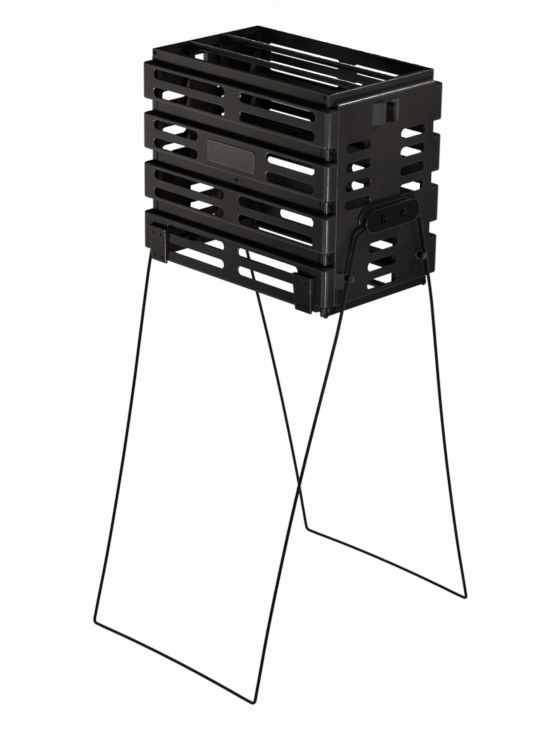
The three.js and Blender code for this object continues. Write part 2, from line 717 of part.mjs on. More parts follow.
// Pivot plate: held off the boss by two posts, with a round recess over each screw
function pivotPlate() {
  const options = {
    depth: PLATE_THICKNESS - 2 * PLATE_EDGE, bevelEnabled: true, bevelThickness: PLATE_EDGE,
    bevelSize: PLATE_EDGE, bevelOffset: -PLATE_EDGE, bevelSegments: 1,
  };
  const shape = stadium(BOSS_LENGTH, BOSS_WIDTH, BOSS_STEPS);
  const geometry = new THREE.ExtrudeGeometry(shape, options);
  geometry.rotateX(Math.PI / 2);
  geometry.rotateZ(Math.PI / 2);
  geometry.translate(PLATE_X + PLATE_EDGE, 0, 0);
  const added = [solid(geometry)];
  const cuts = [];
  for (const y of [-PLATE_SCREW_OFFSET, PLATE_SCREW_OFFSET]) {
    const outside = PLATE_X + PLATE_THICKNESS;
    added.push(roundRodX(PLATE_POST, [FACE + BOSS_PROUD + SEAM, PLATE_X + MELD], y, 0,
      SOCKET_SIDES));
    cuts.push(roundRodX(HOLE, [FACE, outside + OVERRUN], y, 0));
    cuts.push(roundRodX(PLATE_RECESS, [outside - PLATE_RECESS_DEPTH, outside + OVERRUN], y, 0,
      SOCKET_SIDES));
  }
  return geometryOf(cut(joined(added), cuts));
}

// A screw along X with the underside of its head at zero
function screw(reach, height = SCREW_HEAD_HEIGHT, share = 1) {
  const head = SCREW_HEAD * share;
  const shank = SHANK * share;
  const profile = [
    [0, -reach], [shank, -reach], [shank, 0], [head, 0], [head, height / 2], [0, height],
  ];
  const points = profile.map(([radius, along]) => new THREE.Vector2(radius, along));
  const geometry = new THREE.LatheGeometry(points, SCREW_SIDES);
  geometry.rotateZ(-Math.PI / 2);
  return geometry;
}

function stopPeg() {
  const profile = [
    [0, -PEG_SHANK_LENGTH], [PEG_SHANK, -PEG_SHANK_LENGTH], [PEG_SHANK, SEAM], [PEG_FLANGE, SEAM],
    [PEG_FLANGE, PEG_FLANGE_HEIGHT], [PEG_RADIUS, PEG_FLANGE_HEIGHT],
    [PEG_RADIUS, PEG_LENGTH - PEG_DOME], [PEG_RADIUS - PEG_DOME, PEG_LENGTH], [0, PEG_LENGTH],
  ];
  const points = profile.map(([radius, along]) => new THREE.Vector2(radius, along));
  const geometry = new THREE.LatheGeometry(points, PEG_SIDES);
  geometry.rotateZ(-Math.PI / 2);
  return geometry;
}

function rod(radius) {
  const length = 2 * (INNER_FACE - SEAM);
  const geometry = new THREE.CylinderGeometry(radius, radius, length, ROD_SIDES);
  geometry.rotateZ(Math.PI / 2);
  return geometry;
}

// A corner of the wire, rounded to its bend radius
function bend(before, at, after, radius) {
  const way = at.clone().sub(before).normalize();
  const onward = after.clone().sub(at).normalize();
  const turn = way.angleTo(onward);
  const start = at.clone().addScaledVector(way, -radius * Math.tan(turn / 2));
  const inward = onward.clone().addScaledVector(way, -onward.dot(way)).normalize();
  return Array.from({ length: BEND_STEPS + 1 }, (_, i) => {
    const angle = (i / BEND_STEPS) * turn;
    return start.clone().addScaledVector(way, radius * Math.sin(angle))
      .addScaledVector(inward, radius * (1 - Math.cos(angle)));
  });
}

// One leg's centre line, from its right pin to its left pin: in at the pivot, out over the
// shoulder, down with a slight bow, and across the floor on a crossbar that arches a little
function legLine() {
  const top = (INNER_WIRE_X + OUTER_WIRE_X) / 2;
  const footDepth = RIM_HEIGHT - WIRE;
  const bow = new THREE.SplineCurve(BOW_SHARES.map(([along, draw]) => (
    new THREE.Vector2(along, draw)
  )));
  const reachAtFoot = HALF_LENGTH - FOOT_INSET;
  const down = bow.getPoints(BOW_STEPS).map(({ x: along, y: draw }) => new THREE.Vector3(
    top + (reachAtFoot - top) * draw,
    -THREE.MathUtils.lerp(SHOULDER_OFFSET, FOOT_OFFSET, along),
    -THREE.MathUtils.lerp(SHOULDER_DEPTH, footDepth, along),
  ));
  const tip = new THREE.Vector3(FACE + BOSS_PROUD - PIN_DEPTH, -PIVOT_OFFSET, -PIVOT_DEPTH);
  const pivot = new THREE.Vector3(top, -PIVOT_OFFSET, -PIVOT_DEPTH);
  const middle = new THREE.Vector3(0, -FOOT_OFFSET, -footDepth);
  const [shoulder, ...rest] = down;
  const foot = rest.pop();
  const right = [
    tip, ...bend(tip, pivot, shoulder, PIN_BEND), ...bend(pivot, shoulder, rest[0], SHOULDER_BEND),
    ...rest, ...bend(rest[rest.length - 1], foot, middle, FOOT_BEND),
  ];
  const reach = right[right.length - 1].x;
  const across = Array.from({ length: CROSSBAR_STEPS - 1 }, (_, i) => {
    const share = 1 - (2 * (i + 1)) / CROSSBAR_STEPS;
    const rise = CROSSBAR_RISE * (1 - share * share);
    return new THREE.Vector3(reach * share, -FOOT_OFFSET, -footDepth + rise);
  });
  const left = right.map(({ x, y, z }) => new THREE.Vector3(-x, y, z)).reverse();
  return [...right, ...across, ...left];
}

function leg() {
  const line = legLine();
  const slope = new THREE.Vector3(0, SHOULDER_OFFSET - FOOT_OFFSET, SHOULDER_DEPTH - RIM_HEIGHT);
  const level = new THREE.Vector3(0, -slope.z, slope.y).normalize();
  const start = Math.atan2(slope.y, -slope.z);
  const angles = Array.from({ length: WIRE_SIDES }, (_, i) => (
    (i / WIRE_SIDES) * 2 * Math.PI - Math.PI / 2 + start
  ));
  const rings = line.map((point, i) => {
    const before = line[Math.max(i - 1, 0)];
    const after = line[Math.min(i + 1, line.length - 1)];
    const way = after.clone().sub(before).normalize();
    const across = level.clone().addScaledVector(way, -level.dot(way)).normalize();
    const up = way.clone().cross(across);
    return angles.map((angle) => (
      point.clone().addScaledVector(across, WIRE * Math.cos(angle))
        .addScaledVector(up, WIRE * Math.sin(angle))
    ));
  });
  const cap = angles.map((angle) => new THREE.Vector2(Math.cos(angle), Math.sin(angle)));
  return loft(rings, cap);
}

function badge() {
  const shape = new THREE.Shape();
  const across = BADGE_LENGTH / 2 - BADGE_CORNER;
  const up = BADGE_HEIGHT / 2 - BADGE_CORNER;
  shape.absarc(across, up, BADGE_CORNER, 0, Math.PI / 2);
  shape.absarc(-across, up, BADGE_CORNER, Math.PI / 2, Math.PI);
  shape.absarc(-across, -up, BADGE_CORNER, Math.PI, 1.5 * Math.PI);
  shape.absarc(across, -up, BADGE_CORNER, 1.5 * Math.PI, 2 * Math.PI);
  return geometryOf(alongY(shape, [-BADGE_THICKNESS, 0], 0, 0));
}

// Bracket: a wedge with a pocket that opens upward, its back at zero and its front toward -Y
function bracket() {
  const height = BRACKET_HEIGHT;
  const side = outline([
    [0, 0], [0, -height], [-BRACKET_FOOT_PROUD, -height], [-BRACKET_PROUD, 0],
  ]);
  const wedge = alongX(side, [-BRACKET_WIDTH / 2, BRACKET_WIDTH / 2], 0, 0);
  const slant = (BRACKET_WIDTH - BRACKET_FOOT_WIDTH) / 2;
  const trims = [-1, 1].map((way) => {
    const shape = outline([
      [way * BRACKET_WIDTH / 2, 0], [way * (BRACKET_WIDTH / 2 + OVERRUN), 0],
      [way * (BRACKET_WIDTH / 2 + OVERRUN), -height - OVERRUN],
      [way * (BRACKET_WIDTH / 2 - slant), -height - OVERRUN],
      [way * (BRACKET_WIDTH / 2 - slant), -height],
    ]);
    return alongY(shape, [-BRACKET_PROUD - OVERRUN, OVERRUN], 0, 0);
  });
  const pocketEnd = BRACKET_POCKET / height;
  const front = THREE.MathUtils.lerp(BRACKET_PROUD, BRACKET_FOOT_PROUD, pocketEnd);
  const pocket = alongX(outline([
    [-BRACKET_BACK, OVERRUN], [-BRACKET_BACK, -BRACKET_POCKET],
    [-front + BRACKET_SKIN, -BRACKET_POCKET], [-BRACKET_PROUD + BRACKET_SKIN, 0],
    [-BRACKET_PROUD + BRACKET_SKIN, OVERRUN],
  ]), [-BRACKET_FOOT_WIDTH / 2 + BRACKET_SKIN, BRACKET_FOOT_WIDTH / 2 - BRACKET_SKIN], 0, 0);
  const rows = [BRACKET_UPPER_HOLE, BRACKET_LOWER_HOLE];
  const holes = rows.flatMap((drop) => [-1, 1].flatMap((way) => {
    const x = way * BRACKET_HOLE_SPREAD;
    const z = -drop;
    return [
      roundRodY(BRACKET_HOLE, [-BRACKET_PROUD - OVERRUN, -BRACKET_BACK], x, z),
      roundRodY(SMALL_HOLE, [-BRACKET_PROUD, OVERRUN], x, z),
    ];
  }));
  return geometryOf(cut(wedge, [...trims, pocket, ...holes]));
}

const model = new THREE.Group();
const basket = new THREE.Group();
basket.position.z = RIM_HEIGHT;
model.add(basket);

function place(name, geometry, material, x = 0, y = 0, z = 0) {
  const mesh = new THREE.Mesh(geometry, material);
  mesh.name = name;
  mesh.position.set(x, y, z);
  basket.add(mesh);
  return mesh;
}

function turnedRound(mesh) {
  mesh.rotation.z = Math.PI;
  return mesh;
}

// Walls
place('front_panel', panel(bracketScrewPlaces()), plastic(SHELL));
turnedRound(place('back_panel', panel([]), plastic(SHELL)));
const endGeometry = endPanel();
place('right_end_panel', endGeometry, plastic(SHELL));
turnedRound(place('left_end_panel', endGeometry, plastic(SHELL)));

// Badge and brackets on the front
const frontFace = -HALF_WIDTH - BAND_PROUD - SEAM;
const badgeDepth = FIRST_BAND + BADGE_BAND * BAND_PITCH + BAND_HEIGHT / 2;
place('badge_plate', badge(), plastic(BADGE, 0.4), 0, frontFace, -badgeDepth);
for (const [name, side] of [['left', -1], ['right', 1]]) {
  place(`${name}_bracket`, bracket(), plastic(SHELL), side * BRACKET_MIDDLE, frontFace,
    -BRACKET_TOP);
}

// Rods
for (const [name, side] of [['front', -1], ['back', 1]]) {
  place(`top_rod_${name}`, rod(TOP_ROD), steel(ROD_COAT), 0, side * TOP_ROD_OFFSET,
    -TOP_ROD_DEPTH);
  place(`bottom_rod_${name}`, rod(BOTTOM_ROD), steel(ROD_COAT), 0, side * BOTTOM_ROD_OFFSET,
    -BOTTOM_ROD_DEPTH);
}

// Legs: each is shifted along X by half the spacing of the two wires at an end
const legGeometry = leg();
place('front_leg', legGeometry, steel(WIRE_COAT), LEG_SHIFT);
turnedRound(place('back_leg', legGeometry, steel(WIRE_COAT), -LEG_SHIFT));

// Pieces of the two ends, each end as a group that is turned half round for the left
for (const [name, turn] of [['right', 0], ['left', Math.PI]]) {
  const end = new THREE.Group();
  end.rotation.z = turn;
  basket.add(end);
  const add = (...args) => end.add(place(...args));
  add(`${name}_pivot_plate`, pivotPlate(), plastic(PLATE, 0.15), 0, 0, -PIVOT_DEPTH);
  for (const [number, side] of [[1, -1], [2, 1]]) {
    const plateSeat = PLATE_X + PLATE_THICKNESS - PLATE_RECESS_DEPTH + SEAM;
    add(`${name}_plate_screw_${number}`, screw(PLATE_SCREW_REACH, PLATE_SCREW_HEAD_HEIGHT),
      steel(SCREW), plateSeat, side * PLATE_SCREW_OFFSET, -PIVOT_DEPTH);
    add(`${name}_leg_stop_${number}`, stopPeg(), plastic(PEG, 0.3), FACE, side * PEG_OFFSET,
      -PEG_DEPTH);
    cornerScrewDepths().forEach((depth, i) => {
      const count = (number - 1) * CORNER_SCREW_COUNT + i + 1;
      add(`${name}_corner_screw_${count}`, screw(SCREW_REACH), steel(SCREW), HALF_LENGTH + SEAM,
        side * CORNER_SCREW_Y, -depth);
    });
  }
}

// Screws through the front and back panels
const smallHeight = SCREW_HEAD_HEIGHT * SMALL_SCREW_SHARE;
const small = screw(BRACKET_BACK + WALL + SEAM, smallHeight, SMALL_SCREW_SHARE);
for (const [name, side] of [['front', -1], ['back', 1]]) {
  const y = side * (HALF_WIDTH + SEAM);
  const turn = side * Math.PI / 2;
  for (const [end, way] of [['left', -1], ['right', 1]]) {
    place(`${name}_rim_screw_${end}`, screw(SCREW_REACH), steel(SCREW), way * RIM_SCREW_X, y,
      -RIM_SCREW_DEPTH).rotation.z = turn;
  }
  place(`${name}_middle_screw`, screw(SCREW_REACH), steel(SCREW), 0, y,
    -MIDDLE_SCREW_DEPTH).rotation.z = turn;
}
bracketScrewPlaces().forEach(([x, depth], i) => {
  place(`bracket_screw_${i + 1}`, small, steel(SCREW), x, frontFace - BRACKET_BACK - SEAM,
    -depth).rotation.z = -Math.PI / 2;
});

export default model;
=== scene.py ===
import math

import bmesh
import bpy
from mathutils import Matrix, Vector


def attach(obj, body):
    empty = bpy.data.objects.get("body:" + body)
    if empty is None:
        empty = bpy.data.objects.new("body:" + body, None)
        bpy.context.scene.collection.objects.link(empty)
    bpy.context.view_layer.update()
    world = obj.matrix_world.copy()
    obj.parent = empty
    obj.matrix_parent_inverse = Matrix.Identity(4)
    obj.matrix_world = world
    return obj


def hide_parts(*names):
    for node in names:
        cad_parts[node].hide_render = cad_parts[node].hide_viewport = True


# Tennis ball hopper: a slotted plastic basket on two folding legs of bent wire. Metres, Z up.
# The origin is on the floor under the middle of the basket, and +X is its right end.
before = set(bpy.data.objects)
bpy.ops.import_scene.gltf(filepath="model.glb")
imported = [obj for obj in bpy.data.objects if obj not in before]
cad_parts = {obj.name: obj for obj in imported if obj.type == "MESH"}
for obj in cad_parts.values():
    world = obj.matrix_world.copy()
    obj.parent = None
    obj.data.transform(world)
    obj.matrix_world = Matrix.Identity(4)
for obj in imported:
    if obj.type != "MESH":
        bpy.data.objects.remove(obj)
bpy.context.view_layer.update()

# Camera. It has the photograph's own view, from the right front corner and a little above, through
# a long lens. The focal length was worked out in pixels of a picture that is 735 pixels high.
CAMERA_AT = Vector((2.52546, -2.58805, 1.87978))
CAMERA_AZIMUTH = math.radians(44.468)
CAMERA_ELEVATION = math.radians(21.549)
CAMERA_ROLL = math.radians(0.854)
SENSOR = 36.0
FOCAL_PIXELS = 2354.04
PICTURE_HEIGHT = 735
CLIP_END = 60

back = Vector((
    math.sin(CAMERA_AZIMUTH) * math.cos(CAMERA_ELEVATION),
    -math.cos(CAMERA_AZIMUTH) * math.cos(CAMERA_ELEVATION),
    math.sin(CAMERA_ELEVATION),
))
level = Vector((math.cos(CAMERA_AZIMUTH), math.sin(CAMERA_AZIMUTH), 0))
upright = back.cross(level)
right = level * math.cos(CAMERA_ROLL) + upright * math.sin(CAMERA_ROLL)
up = upright * math.cos(CAMERA_ROLL) - level * math.sin(CAMERA_ROLL)

camera = bpy.data.objects.new("camera", bpy.data.cameras.new("camera"))
camera.matrix_world = Matrix.Translation(CAMERA_AT) @ Matrix((right, up, back)).transposed().to_4x4()
camera.data.sensor_width = SENSOR
camera.data.lens = FOCAL_PIXELS / PICTURE_HEIGHT * SENSOR
camera.data.clip_end = CLIP_END
bpy.context.scene.collection.objects.link(camera)
bpy.context.scene.camera = camera

# Studio. White sweep and floor under a faint even sky. The key box stands near the floor at the front
# left, and the low box at the front right finds the upright corners. The end, side and back boxes
# light the right end, its catch and the back. Spread is the angle of a box's grid in degrees.
FLOOR_SIZE = 40.0
FLOOR_COLOUR = (0.86, 0.86, 0.85, 1)
FLOOR_WHITE_SHARE = 0.98
SKY_LIGHT = 0.1
BOXES = (
    ("key_box", (-0.6, -1.18, 0.12), (-0.12, -0.12, 0.95), (0.35, 0.35), 2.0, 34),
    ("low_box", (1.45, -0.65, 0.3), (0.15, -0.08, 1.0), (0.26, 0.3), 0.75, 42),
    ("end_box", (0.85, 0.95, 1.75), (0.2, 0.02, 0.97), (0.3, 0.3), 0.6, 36),
    ("side_box", (1.85, -0.33, 0.28), (0.2, 0, 1.02), (0.3, 0.3), 0.34, 42),
    ("back_box", (-1.1, 1.7, 0.85), (0, 0.1, 0.8), (0.8, 0.8), 6, 60),
)

scene = bpy.context.scene
scene.view_settings.view_transform = "Standard"


def node_of(tree, kind, *inputs, **named):
    """A new node with its first inputs in turn, and others and its properties by name.

    An input is a value or another node's output, and its name has _ for each space."""
    node = tree.nodes.new(kind)
    entries = dict(enumerate(inputs))
    for key, value in named.items():
        entry = key.replace("_", " ")
        if entry in node.inputs:
            entries[entry] = value
        else:
            setattr(node, key, value)
    for entry, value in entries.items():
        if isinstance(value, bpy.types.NodeSocket):
            tree.links.new(value, node.inputs[entry])
        else:
            node.inputs[entry].default_value = value
    return node


def made_by(tree, kind, *inputs, **named):
    """The first output of a new node."""
    return node_of(tree, kind, *inputs, **named).outputs[0]


def worked(tree, operation, *values):
    """A sum, product or other result of numbers and outputs."""
    return made_by(tree, "ShaderNodeMath", *values, operation=operation)


def seen_directly(tree):
    """1 where the camera, a mirror or glass looks at the background, and 0 for its light."""
    path = tree.nodes.new("ShaderNodeLightPath").outputs
    seen = worked(tree, "MAXIMUM", path["Is Camera Ray"], path["Is Glossy Ray"])
    return worked(tree, "MAXIMUM", seen, path["Is Transmission Ray"])


world = bpy.data.worlds.new("studio")
scene.world = world
world.use_nodes = True
sky = world.node_tree
sky.nodes.clear()
lit = made_by(sky, "ShaderNodeBackground", Color=(1, 1, 1, 1), Strength=SKY_LIGHT)
white = made_by(sky, "ShaderNodeBackground", Color=(1, 1, 1, 1), Strength=1.0)
choice = made_by(sky, "ShaderNodeMixShader", seen_directly(sky), lit, white)
node_of(sky, "ShaderNodeOutputWorld", choice)

for name, place, aim, size, power, spread in BOXES:
    box_light = bpy.data.lights.new(name, "AREA")
    box_light.shape = "RECTANGLE"
    box_light.size, box_light.size_y = size
    box_light.energy = power
    box_light.spread = math.radians(spread)
    box_object = bpy.data.objects.new(name, box_light)
    box_object.location = place
    box_object.rotation_euler = (Vector(aim) - Vector(place)).to_track_quat("-Z", "Y").to_euler()
    box_object.visible_camera = False
    scene.collection.objects.link(box_object)

floor_mesh = bpy.data.meshes.new("floor")
half = FLOOR_SIZE / 2
floor_mesh.from_pydata(
    [(-half, -half, 0), (half, -half, 0), (half, half, 0), (-half, half, 0)], [], [(0, 1, 2, 3)]
)
floor = bpy.data.objects.new("floor", floor_mesh)
scene.collection.objects.link(floor)
floor_paint = bpy.data.materials.new("floor_paint")
floor_paint.use_nodes = True
paint = floor_paint.node_tree
paint.nodes.clear()
matt = made_by(paint, "ShaderNodeBsdfDiffuse", Color=FLOOR_COLOUR)
shine = made_by(paint, "ShaderNodeEmission", Color=(1, 1, 1, 1), Strength=1.0)
white_share = worked(paint, "MULTIPLY", seen_directly(paint), FLOOR_WHITE_SHARE)
node_of(paint, "ShaderNodeOutputMaterial",
        made_by(paint, "ShaderNodeMixShader", white_share, matt, shine))
floor_mesh.materials.append(floor_paint)

# Front and back panel. Each is one injection moulding of black plastic with a fine grain: four raised
# bands, pierced by slots and rounded at their edges, that wrap round both corners of the basket. The
# back is the same moulding turned half round. Both are screwed to the end panels.
MM = 0.001
RIM_HEIGHT = 974 * MM
HALF_LENGTH = 195 * MM
HALF_WIDTH = 119.5 * MM
BASKET_DEPTH = 352 * MM
WALL = 3 * MM
SEAM = 0.3 * MM
OVERRUN = 4 * MM
MELD = 0.6 * MM
BAND_PROUD = 11 * MM
BAND_STARTS = (21.2 * MM, 104 * MM, 186.8 * MM, 269.6 * MM)
BAND_HEIGHT = 59.8 * MM
LAST_BAND_END = 343.5 * MM
PROUD_END = 333.4 * MM
BAND_EDGE = 4 * MM
BAND_CORNER = 7 * MM
RIM_CORNER = 4 * MM
RIM_EDGE = 1.2 * MM
PANEL_END = 345 * MM
RETURN = 10.5 * MM
INNER_ROUND = 0.9 * MM
EDGE_STEPS = 6
CORNER_STEPS = 10
CORNER_NOTCH = 7.5 * MM
NOTCH_STEP = 1.2 * MM
GROOVE_START = 11.5 * MM
GROOVE_WIDTH = 2.4 * MM
GROOVE_DEEP = 1.7 * MM
TOP_FLANGE = 9.5 * MM
BOTTOM_FLANGE = 12 * MM
FLANGE_GAP = 14 * MM
LIP_ROUND = 0.9 * MM
LIP_STEPS = 3
FOOT_EDGE = ((0, 0.7 * MM), (0.3 * MM, 0.2 * MM), (0.8 * MM, 0))
SLOT_STEPS = 14
SLOT_HEIGHT = 16 * MM
LAST_SLOT_HEIGHT = 14.5 * MM
SLOT_ROWS = (14.5 * MM, 44.5 * MM)
LAST_ROWS_DROP = 2.5 * MM
SLOT_START = 16 * MM
BADGE_BAND = 1
BADGE_SLOT_START = 76 * MM
SLOT_END_GAP = 16.5 * MM
LAST_SLOT_END_GAP = 48 * MM
SHANK = 1.5 * MM
SMALL_SCREW_SHARE = 0.55
SCREW_ROOM = 0.45 * MM
HOLE = SHANK + SCREW_ROOM
SMALL_HOLE = SMALL_SCREW_SHARE * SHANK + SCREW_ROOM
BORE_SIDES = 24
SMALL_BORE_SIDES = 12
SOCKET_SIDES = 32
EAR_SIDES = 40
CORNER_SCREW_Y = 113 * MM
CORNER_SCREW_DEPTHS = (92.5 * MM, 175.3 * MM, 258.1 * MM, 349.3 * MM)
RIM_SCREW_X = 187.5 * MM
RIM_SCREW_Z = RIM_HEIGHT - 6.5 * MM
MIDDLE_SCREW_Z = RIM_HEIGHT - 175.3 * MM
EAR = 5.2 * MM
SOCKET_WALL = 2.7 * MM
SCREW_REACH = 9 * MM
BRACKET_MIDDLE = 163.5 * MM
BRACKET_HOLE_SPREAD = 8.6 * MM
BRACKET_HOLE_DEPTHS = (298 * MM, 337 * MM)
SHARPEST_TURN = 0.2
POINT_MERGE = 0.001 * MM
CUT_MERGE = 0.002 * MM
SHADE_ANGLE = math.radians(38)
SHELL_COLOUR = (0.026, 0.0235, 0.0217)
MOTTLE = (9.0, 4.0, 0.55)
SPECK = (420.0, 3.0, 0.6)
GRAIN = (1500.0, 2.0, 0.5)
MIDDLE_NOISE = (0.3, 0.7)
MOTTLE_TONES = (0.82, 1.2)
HIGH_NOISE = (0.45, 0.8)
SPECK_TONES = (1.0, 1.35)
POLISH_SPREAD = (-0.05, 0.06)
GRAIN_DEPTH = 0.06 * MM
# Rounded edges are marked, upright ones and those near the rim only. The mark polishes them and paints
# them paler: partly wear, partly a painted highlight where the lamps catch the edges.
SHEEN_AND_WEAR_BENDS = (math.radians(3), math.radians(50))
SHEEN_AND_WEAR_SHARES = (0.55, 0.85)
WEAR_AND_PAINTED_SHEEN_PALER = 0.6
RUB_POLISH = 0.4
RUBBED_ABOVE = 0.5
SHEEN_AND_WEAR_WIDTH = 1.6 * MM
SHEEN_AND_WEAR_SLOPE = 0.35
SHEEN_AND_WEAR_RIM = 17 * MM
RUBBED_FINISH = 1
# The third finish has no reflection, so the recess floors that carry it read as painted shade.
PAINTED_SHADE_FINISH = 2


def piece_from(name, points, faces):
    """An object from points and faces, in place, with its faces turned outward."""
    mesh = bpy.data.meshes.new(name)
    mesh.from_pydata([tuple(p) for p in points], [], faces)
    build = bmesh.new()
    build.from_mesh(mesh)
    bmesh.ops.remove_doubles(build, verts=build.verts, dist=POINT_MERGE)
    bmesh.ops.recalc_face_normals(build, faces=build.faces)
    build.to_mesh(mesh)
    build.free()
    piece = bpy.data.objects.new(name, mesh)
    scene.collection.objects.link(piece)
    return piece


def lofted(name, rings):
    """A closed body through rings that all have the same number of points."""
    count = len(rings[0])
    faces = []
    for ring in range(len(rings) - 1):
        for i in range(count):
            a, b = ring * count + i, ring * count + (i + 1) % count
            faces.append((a, b, b + count, a + count))
    faces.append(tuple(range(count))[::-1])
    last = (len(rings) - 1) * count
    faces.append(tuple(range(last, last + count)))
    return piece_from(name, [p for ring in rings for p in ring], faces)


def block(x, y, z):
    """A box between two values on each axis."""
    low = [(x[0], y[0]), (x[1], y[0]), (x[1], y[1]), (x[0], y[1])]
    return lofted("block", [[(a, b, level_z) for a, b in low] for level_z in z])


def arc(steps, start=0.0, end=math.pi / 2):
    """Angles in equal steps, a quarter turn unless said otherwise."""
    return [start + (end - start) * i / steps for i in range(steps + 1)]


def rounding(radius, steps):
    """How far a rounded corner has turned away from its two sides, at each step."""
    return [(radius * (1 - math.cos(t)), radius * (1 - math.sin(t))) for t in arc(steps)]


def stadium(length, height, steps=SLOT_STEPS):
    """A slot's outline: straight sides and half round ends."""
    reach, radius = (length - height) / 2, height / 2
    turns = [math.pi * (i / steps - 0.5) for i in range(steps + 1)]
    near = [(reach + radius * math.cos(t), radius * math.sin(t)) for t in turns]
    return near + [(-a, -b) for a, b in near]


def lip_levels(outside, inside):
    """Places and growth of a cutter that leaves both mouths of its hole rounded."""
    way = 1 if inside > outside else -1
    down = [(outside + way * a, b) for a, b in rounding(LIP_ROUND, LIP_STEPS)]
    rise = [(inside - way * LIP_ROUND * math.cos(t), LIP_ROUND * (1 - math.sin(t)))
            for t in arc(LIP_STEPS)]
    mouth = [(outside - way * OVERRUN, LIP_ROUND)]
    return mouth + down + rise[:-1] + [(inside, LIP_ROUND), (inside + way * OVERRUN, LIP_ROUND)]


def set_in(shape, distance):
    """An outline moved inward by a distance, or outward by a negative one."""
    turn = sum(a[0] * b[1] - a[1] * b[0] for a, b in zip(shape, shape[1:] + shape[:1]))
    way = distance if turn > 0 else -distance
    moved = []
    for i, here in enumerate(shape):
        before, after = Vector(shape[i - 1]), Vector(shape[(i + 1) % len(shape)])
        u, v = (Vector(here) - before).normalized(), (after - Vector(here)).normalized()
        m, n = Vector((-u.y, u.x)), Vector((-v.y, v.x))
        step = (m + n) * (way / max(1 + m.dot(n), SHARPEST_TURN))
        moved.append((here[0] + step.x, here[1] + step.y))
    return moved


def on_axis(axis, place, shape):
    """An outline's points at a place on an axis: (Y, Z) on X, (X, Z) on Y and (X, Y) on Z."""
    at = {"x": (2, 0, 1), "y": (0, 2, 1), "z": (0, 1, 2)}[axis]
    return [tuple((a, b, place)[i] for i in at) for a, b in shape]


def mouth_tool(axis, outside, inside, shape):
    """A cutter for a hole through a wall. Its ends flare, so both lips of the hole are rounded."""
    return lofted("mouth_tool", [
        on_axis(axis, place, set_in(shape, -wider)) for place, wider in lip_levels(outside, inside)
    ])


def shifted(shape, across, rise):
    """An outline moved in its own plane."""
    return [(a + across, b + rise) for a, b in shape]


def ring_of(radius, across, rise, sides):
    """The outline of a circle."""
    turns = [2 * math.pi * i / sides for i in range(sides)]
    return [(across + radius * math.cos(t), rise + radius * math.sin(t)) for t in turns]


def bar(axis, radius, span, centre, sides=BORE_SIDES):
    """A round bar along X or Y, for holes, sockets and posts."""
    return lofted("bar", [on_axis(axis, place, ring_of(radius, *centre, sides)) for place in span])


def machined(name, bodies, tools):
    """One mesh from bodies melded together, less all tools."""
    base = bodies[0]
    for operation, parts in (("UNION", bodies[1:]), ("DIFFERENCE", tools)):
        for part in parts:
            step = base.modifiers.new("step", "BOOLEAN")
            step.operation = operation
            step.solver = "MANIFOLD"
            step.object = part
    graph = bpy.context.evaluated_depsgraph_get()
    mesh = bpy.data.meshes.new_from_object(base.evaluated_get(graph))
    for part in [*bodies, *tools]:
        bpy.data.objects.remove(part)
    build = bmesh.new()
    build.from_mesh(mesh)
    bmesh.ops.remove_doubles(build, verts=build.verts, dist=CUT_MERGE)
    bmesh.ops.dissolve_degenerate(build, edges=build.edges, dist=CUT_MERGE)
    build.to_mesh(mesh)
    build.free()
    mesh.name = name
    piece = bpy.data.objects.new(name, mesh)
    scene.collection.objects.link(piece)
    return piece


def mark_wear_and_painted_light(mesh):
    """Marks each face by how much of its outline is part of a rounded outer edge.

    Only narrow faces on upright edges and near the rim are marked, and the mark paints them paler: partly
    wear, partly a painted highlight where the lamps catch the edges. A face that is marked below 0 lies
    in a hole, and has the third finish, which paints shade there."""
    build = bmesh.new()
    build.from_mesh(mesh)
    wear_and_painted_light = build.faces.layers.float.get("wear_and_painted_light") or build.faces.layers.float.new("wear_and_painted_light")
    low, high = SHEEN_AND_WEAR_SHARES
    for face in build.faces:
        if face[wear_and_painted_light] < 0:
            face.material_index = PAINTED_SHADE_FINISH
            continue
        bent = sum(edge.calc_length() for edge in face.edges if len(edge.link_faces) == 2
                   and SHEEN_AND_WEAR_BENDS[0] < edge.calc_face_angle_signed(0) < SHEEN_AND_WEAR_BENDS[1])
        upright = abs(face.normal.z) < SHEEN_AND_WEAR_SLOPE
        at_rim = face.calc_center_median().z > RIM_HEIGHT - SHEEN_AND_WEAR_RIM
        narrow = 2 * face.calc_area() < SHEEN_AND_WEAR_WIDTH * face.calc_perimeter() and (upright or at_rim)
        share = (bent / face.calc_perimeter() - low) / (high - low) if narrow else 0
        face[wear_and_painted_light] = min(max(share, face[wear_and_painted_light]), 1)
        face.material_index = RUBBED_FINISH if face[wear_and_painted_light] > RUBBED_ABOVE else 0
    build.to_mesh(mesh)
    build.free()


def finished(piece, finishes, body, nodes):
    piece.data.materials.clear()
    for finish in finishes:
        piece.data.materials.append(finish)
    mark_wear_and_painted_light(piece.data)
    piece.data.shade_smooth()
    piece.data.set_sharp_from_angle(angle=SHADE_ANGLE)
    weighted = piece.modifiers.new("even_shading", "WEIGHTED_NORMAL")
    weighted.keep_sharp = True
    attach(piece, body)
    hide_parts(*nodes)


def new_finish(name):
    """A new material, its node tree and its shader."""
    material = bpy.data.materials.new(name)
    material.use_nodes = True
    tree = material.node_tree
    return material, tree, tree.nodes["Principled BSDF"]


def noises(tree, *settings):
    """Noises in the piece's own space, each from its scale, detail and roughness."""
    where = tree.nodes.new("ShaderNodeTexCoord").outputs["Object"]
    return [made_by(tree, "ShaderNodeTexNoise", Vector=where, Scale=scale, Detail=detail,
                    Roughness=roughness) for scale, detail, roughness in settings]


def ranged(tree, value, wanted, given=(0.0, 1.0)):
    """A value brought from a given range to the wanted one, and held inside it."""
    return made_by(tree, "ShaderNodeMapRange", value, *given, *wanted)


